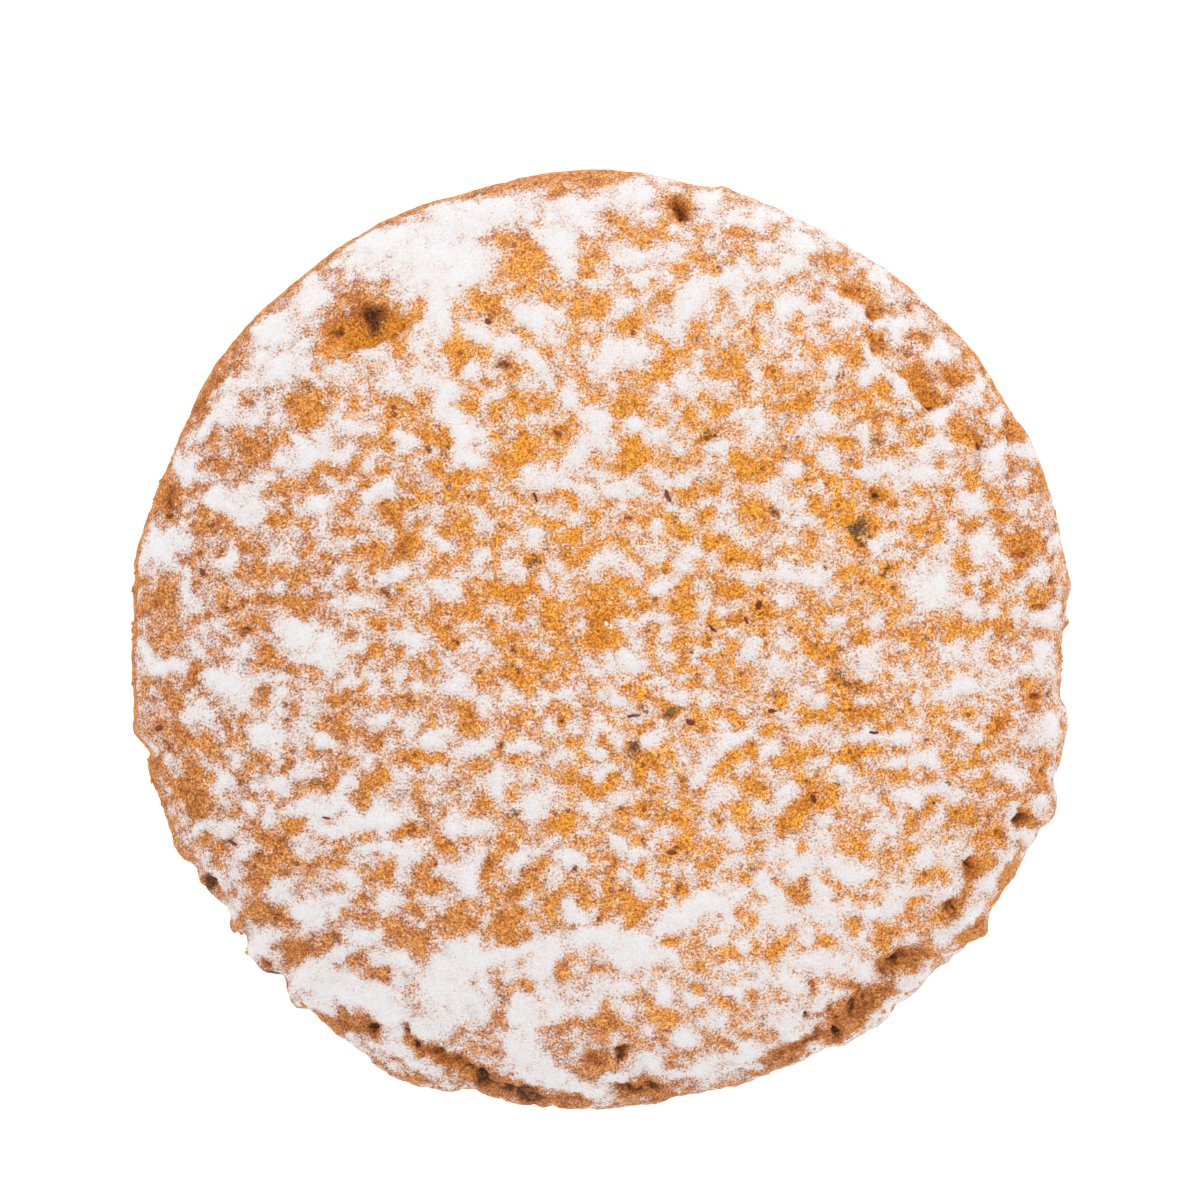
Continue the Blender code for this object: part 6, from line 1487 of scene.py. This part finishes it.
class GlazeSettings(PropertyGroup):
    """Thickness, grain and colours of the sugar."""

    thickness: size_setting("Thickness", "Height of the thickest glaze", 0.24 * MM)
    grit: number_setting("Grit", "How speckled the sugar's edges are", 1.55)
    # White and shadow are lit and shaded copies of the sugar's colour, painted over its fine powder.
    white: colour_setting("White", "Sugar that faces the light", (0.83, 0.825, 0.835))
    shadow: colour_setting("Shadow", "Dips between the sugar grains", (0.79, 0.78, 0.785))


class BitSettings(PropertyGroup):
    """Colours of the loose crumbs, nut skin, sugar flakes and nut chips."""

    crumb: colour_setting("Crumb", "Loose orange-brown crumbs", (0.80, 0.34, 0.05))
    nut_skin: colour_setting("Nut skin", "Dark red-brown flecks of nut skin", (0.25, 0.045, 0.028))
    flake: colour_setting("Sugar flake", "Loose flakes of dry glaze", (0.90, 0.89, 0.885))
    chip: colour_setting("Nut chip", "Pale chips of nut", (0.84, 0.46, 0.20))
    scattered: IntProperty(name="Scattered", description="Number of crumbs round the rim", default=150)
    grains: IntProperty(name="Grains", description="Number of loose grains of sugar", default=170)


class StageSettings(PropertyGroup):
    """Light, floor and camera."""

    sky: number_setting("Sky", "Strength of the even light all round", 0.908)
    key: number_setting("Key light", "Power of the large soft light in watts", 5.0)
    floor: colour_setting("Floor", "Plain pale floor", (0.86, 0.86, 0.86))
    glow: number_setting("Floor glow", "Light that the floor gives out", 0.5)
    lens: number_setting("Lens", "Focal length in millimetres", 200.0)
    middle: FloatVectorProperty(
        name="Middle", description="Point the camera looks down on", default=(-0.0001, 0.0039, 0.005),
        size=3, unit="LENGTH", subtype="TRANSLATION",
    )
    width: size_setting("Width", "Width of the view at the rim's height", 117.65 * MM)


# ---------------------------------------------------------------------------------------------
# Operators.
# ---------------------------------------------------------------------------------------------


class LEBKUCHEN_OT_crust(Operator):
    """Makes the baked biscuit, which stands for the plain solid"""

    bl_idname = "lebkuchen.crust"
    bl_label = "Crust"

    def execute(self, context):
        make_crust(context)
        return {"FINISHED"}


class LEBKUCHEN_OT_glaze(Operator):
    """Makes the thin sugar glaze"""

    bl_idname = "lebkuchen.glaze"
    bl_label = "Sugar glaze"

    def execute(self, context):
        make_glaze(context)
        return {"FINISHED"}


class LEBKUCHEN_OT_crumbs(Operator):
    """Makes the loose crumbs: the listed ones and others scattered round the rim"""

    bl_idname = "lebkuchen.crumbs"
    bl_label = "Crumbs"

    def execute(self, context):
        bits = context.scene.lebkuchen_bits
        rng = np.random.default_rng(SEED + 20)
        side = np.where(rng.random(bits.scattered) < CRUMB_SHARE, *CRUMB_SIDES)
        angle = np.radians(side + CRUMB_WIDTH * (rng.random(bits.scattered) - 0.5))
        reach = RADIUS * (1.0 - 0.012 * rng.random(bits.scattered) ** 2.0)
        size = 0.2 + 0.4 * rng.random(bits.scattered) ** 2.0
        rows = [(x, y, s, 0.85 * s, 0.7 * s, 40.0 * x) for x, y, s in CRUMBS]
        x, y = reach * np.cos(angle), reach * np.sin(angle)
        rows += list(zip(x, y, size, 0.8 * size, 0.65 * size, np.degrees(3.0 * angle)))
        dark = tuple(0.7 * c for c in bits.crumb)
        material = bit_material("crumb", dark, bits.crumb, 0.85, 0.08)
        make_bits(context, "crumbs", rows, (0.9, 0.2, 0.0, 0.5), material, SEED + 21)
        return {"FINISHED"}


class LEBKUCHEN_OT_nut_skins(Operator):
    """Makes the flecks of dark nut skin"""

    bl_idname = "lebkuchen.nut_skins"
    bl_label = "Nut skins"

    def execute(self, context):
        bits = context.scene.lebkuchen_bits
        rows = [(x, y, 1.25 * length, 1.2 * width, 0.2, turn) for x, y, length, width, turn in NUT_SKINS]
        dark = tuple(0.55 * c for c in bits.nut_skin)
        material = bit_material("nut_skin", dark, bits.nut_skin, 0.5, 0.03)
        make_bits(context, "nut_skins", rows, (0.9, 0.9, 0.0, 0.25), material, SEED + 22)
        return {"FINISHED"}


class LEBKUCHEN_OT_sugar_flakes(Operator):
    """Makes the loose flakes and grains of dry glaze"""

    bl_idname = "lebkuchen.sugar_flakes"
    bl_label = "Sugar flakes"

    def execute(self, context):
        bits = context.scene.lebkuchen_bits
        rng = np.random.default_rng(SEED + 30)
        angle = 2.0 * math.pi * rng.random(bits.grains)
        reach = 0.99 * RADIUS * rng.random(bits.grains) ** 0.5
        size = 0.13 + 0.13 * rng.random(bits.grains)
        rows = [(x, y, s, 0.7 * s, 0.22, 70.0 * y) for x, y, s in SUGAR_FLAKES]
        x, y = reach * np.cos(angle), reach * np.sin(angle)
        rows += list(zip(x, y, size, 0.8 * size, 0.7 * size, np.degrees(5.0 * angle)))
        shade = tuple(0.95 * c for c in bits.flake)
        material = bit_material("sugar_flake", shade, bits.flake, 0.5, 0.02)
        make_bits(context, "sugar_flakes", rows, (0.5, 0.3, 0.35, 0.4), material, SEED + 31)
        return {"FINISHED"}


class LEBKUCHEN_OT_chips(Operator):
    """Makes the pale chips of nut that show in the crust"""

    bl_idname = "lebkuchen.chips"
    bl_label = "Nut chips"

    def execute(self, context):
        bits = context.scene.lebkuchen_bits
        rows = [(x, y, length, width, 0.3, turn) for x, y, length, width, turn in CHIPS]
        dark = tuple(0.85 * c for c in bits.chip)
        material = bit_material("nut_chip", dark, bits.chip, 0.7, 0.03)
        make_bits(context, "nut_chips", rows, (0.8, 0.2, 0.0, 0.8), material, SEED + 41)
        return {"FINISHED"}


class LEBKUCHEN_OT_stage(Operator):
    """Makes the floor, the even light, the soft key light and the camera"""

    bl_idname = "lebkuchen.stage"
    bl_label = "Stage"

    def execute(self, context):
        stage = context.scene.lebkuchen_stage
        make_floor(context, stage)
        make_lights(context, stage)
        make_camera(context, stage)
        return {"FINISHED"}


def make_floor(context, stage):
    """A plain pale floor: a square plate just under the base."""
    mesh = bpy.data.meshes.new("floor")
    level = CAD_LOW[2] - FLOOR_GAP
    corners = [(x * FLOOR_HALF, y * FLOOR_HALF, level) for x, y in ((-1, -1), (1, -1), (1, 1), (-1, 1))]
    mesh.from_pydata(corners, [], [(0, 1, 2, 3)])
    material, tree, shader, place = new_material("floor")
    grain = speckle(tree, place, 3.0, 2.0, 0.5)
    finish_shader(
        tree, shader, blend(tree, grain, paint([0.98 * c for c in stage.floor]), paint(stage.floor)),
        remap(tree, grain, 0.3, 0.7, 0.75, 0.85), grain, 0.02,
    )
    shader.inputs["Emission Color"].default_value = (1.0, 1.0, 1.0, 1.0)
    shader.inputs["Emission Strength"].default_value = stage.glow
    mesh.materials.append(material)
    floor = bpy.data.objects.new("floor", mesh)
    context.scene.collection.objects.link(floor)


def make_lights(context, stage):
    """Even light from all round, white where it is seen itself, and one large soft light."""
    world = bpy.data.worlds.new("sky")
    world.use_nodes = True
    tree = world.node_tree
    background = tree.nodes["Background"]
    background.inputs["Color"].default_value = (1.0, 1.0, 1.0, 1.0)
    seen = tree.nodes.new("ShaderNodeLightPath").outputs["Is Camera Ray"]
    tree.links.new(remap(tree, seen, 0.0, 1.0, stage.sky, 1.2), background.inputs["Strength"])
    context.scene.world = world
    lamp = bpy.data.lights.new("key", "AREA")
    lamp.size = 1.8
    lamp.energy = stage.key
    lamp.color = (1.0, 0.99, 0.98)
    key = bpy.data.objects.new("key", lamp)
    key.location = (0.1, 0.65, 0.85)
    key.rotation_euler = Vector(key.location).to_track_quat("Z", "Y").to_euler()
    context.scene.collection.objects.link(key)
    context.scene.view_settings.view_transform = "Standard"


def make_camera(context, stage):
    """A camera that looks straight down with +Y up the view."""
    data = bpy.data.cameras.new("camera")
    data.lens = stage.lens
    data.sensor_width = 36.0
    data.clip_start = 0.01
    data.clip_end = 100.0
    camera = bpy.data.objects.new("camera", data)
    away = stage.width * stage.lens / data.sensor_width
    camera.location = Vector(stage.middle) + Vector((0.0, 0.0, away))
    context.scene.collection.objects.link(camera)
    context.scene.camera = camera


class LEBKUCHEN_PT_panel(Panel):
    """Lists the pieces and their settings"""

    bl_idname = "LEBKUCHEN_PT_panel"
    bl_label = "Lebkuchen"
    bl_space_type = "VIEW_3D"
    bl_region_type = "UI"
    bl_category = "Lebkuchen"

    def draw(self, context):
        for label, owner, operators in SECTIONS:
            box = self.layout.box()
            box.label(text=label)
            settings = getattr(context.scene, owner)
            for key in settings.bl_rna.properties.keys():
                if key not in {"rna_type", "name"}:
                    box.prop(settings, key)
            for operator in operators:
                box.operator(operator.bl_idname)


SECTIONS = (
    ("Crust", "lebkuchen_crust", (LEBKUCHEN_OT_crust,)),
    ("Glaze", "lebkuchen_glaze", (LEBKUCHEN_OT_glaze,)),
    (
        "Bits", "lebkuchen_bits",
        (LEBKUCHEN_OT_crumbs, LEBKUCHEN_OT_nut_skins, LEBKUCHEN_OT_sugar_flakes, LEBKUCHEN_OT_chips),
    ),
    ("Stage", "lebkuchen_stage", (LEBKUCHEN_OT_stage,)),
)
GROUPS = {
    "lebkuchen_crust": CrustSettings, "lebkuchen_glaze": GlazeSettings, "lebkuchen_bits": BitSettings,
    "lebkuchen_stage": StageSettings,
}


def register():
    """Registers the settings, operators and panel."""
    for owner, group in GROUPS.items():
        bpy.utils.register_class(group)
        setattr(bpy.types.Scene, owner, PointerProperty(type=group))
    for _, _, operators in SECTIONS:
        for operator in operators:
            bpy.utils.register_class(operator)
    bpy.utils.register_class(LEBKUCHEN_PT_panel)


def unregister():
    """Takes them away again, last one first."""
    bpy.utils.unregister_class(LEBKUCHEN_PT_panel)
    for _, _, operators in reversed(SECTIONS):
        for operator in reversed(operators):
            bpy.utils.unregister_class(operator)
    for owner, group in reversed(list(GROUPS.items())):
        delattr(bpy.types.Scene, owner)
        bpy.utils.unregister_class(group)


def main():
    """Builds every piece and the stage."""
    register()
    bpy.ops.lebkuchen.crust()
    bpy.ops.lebkuchen.glaze()
    bpy.ops.lebkuchen.crumbs()
    bpy.ops.lebkuchen.nut_skins()
    bpy.ops.lebkuchen.sugar_flakes()
    bpy.ops.lebkuchen.chips()
    bpy.ops.lebkuchen.stage()


if __name__ == "__main__":
    main()
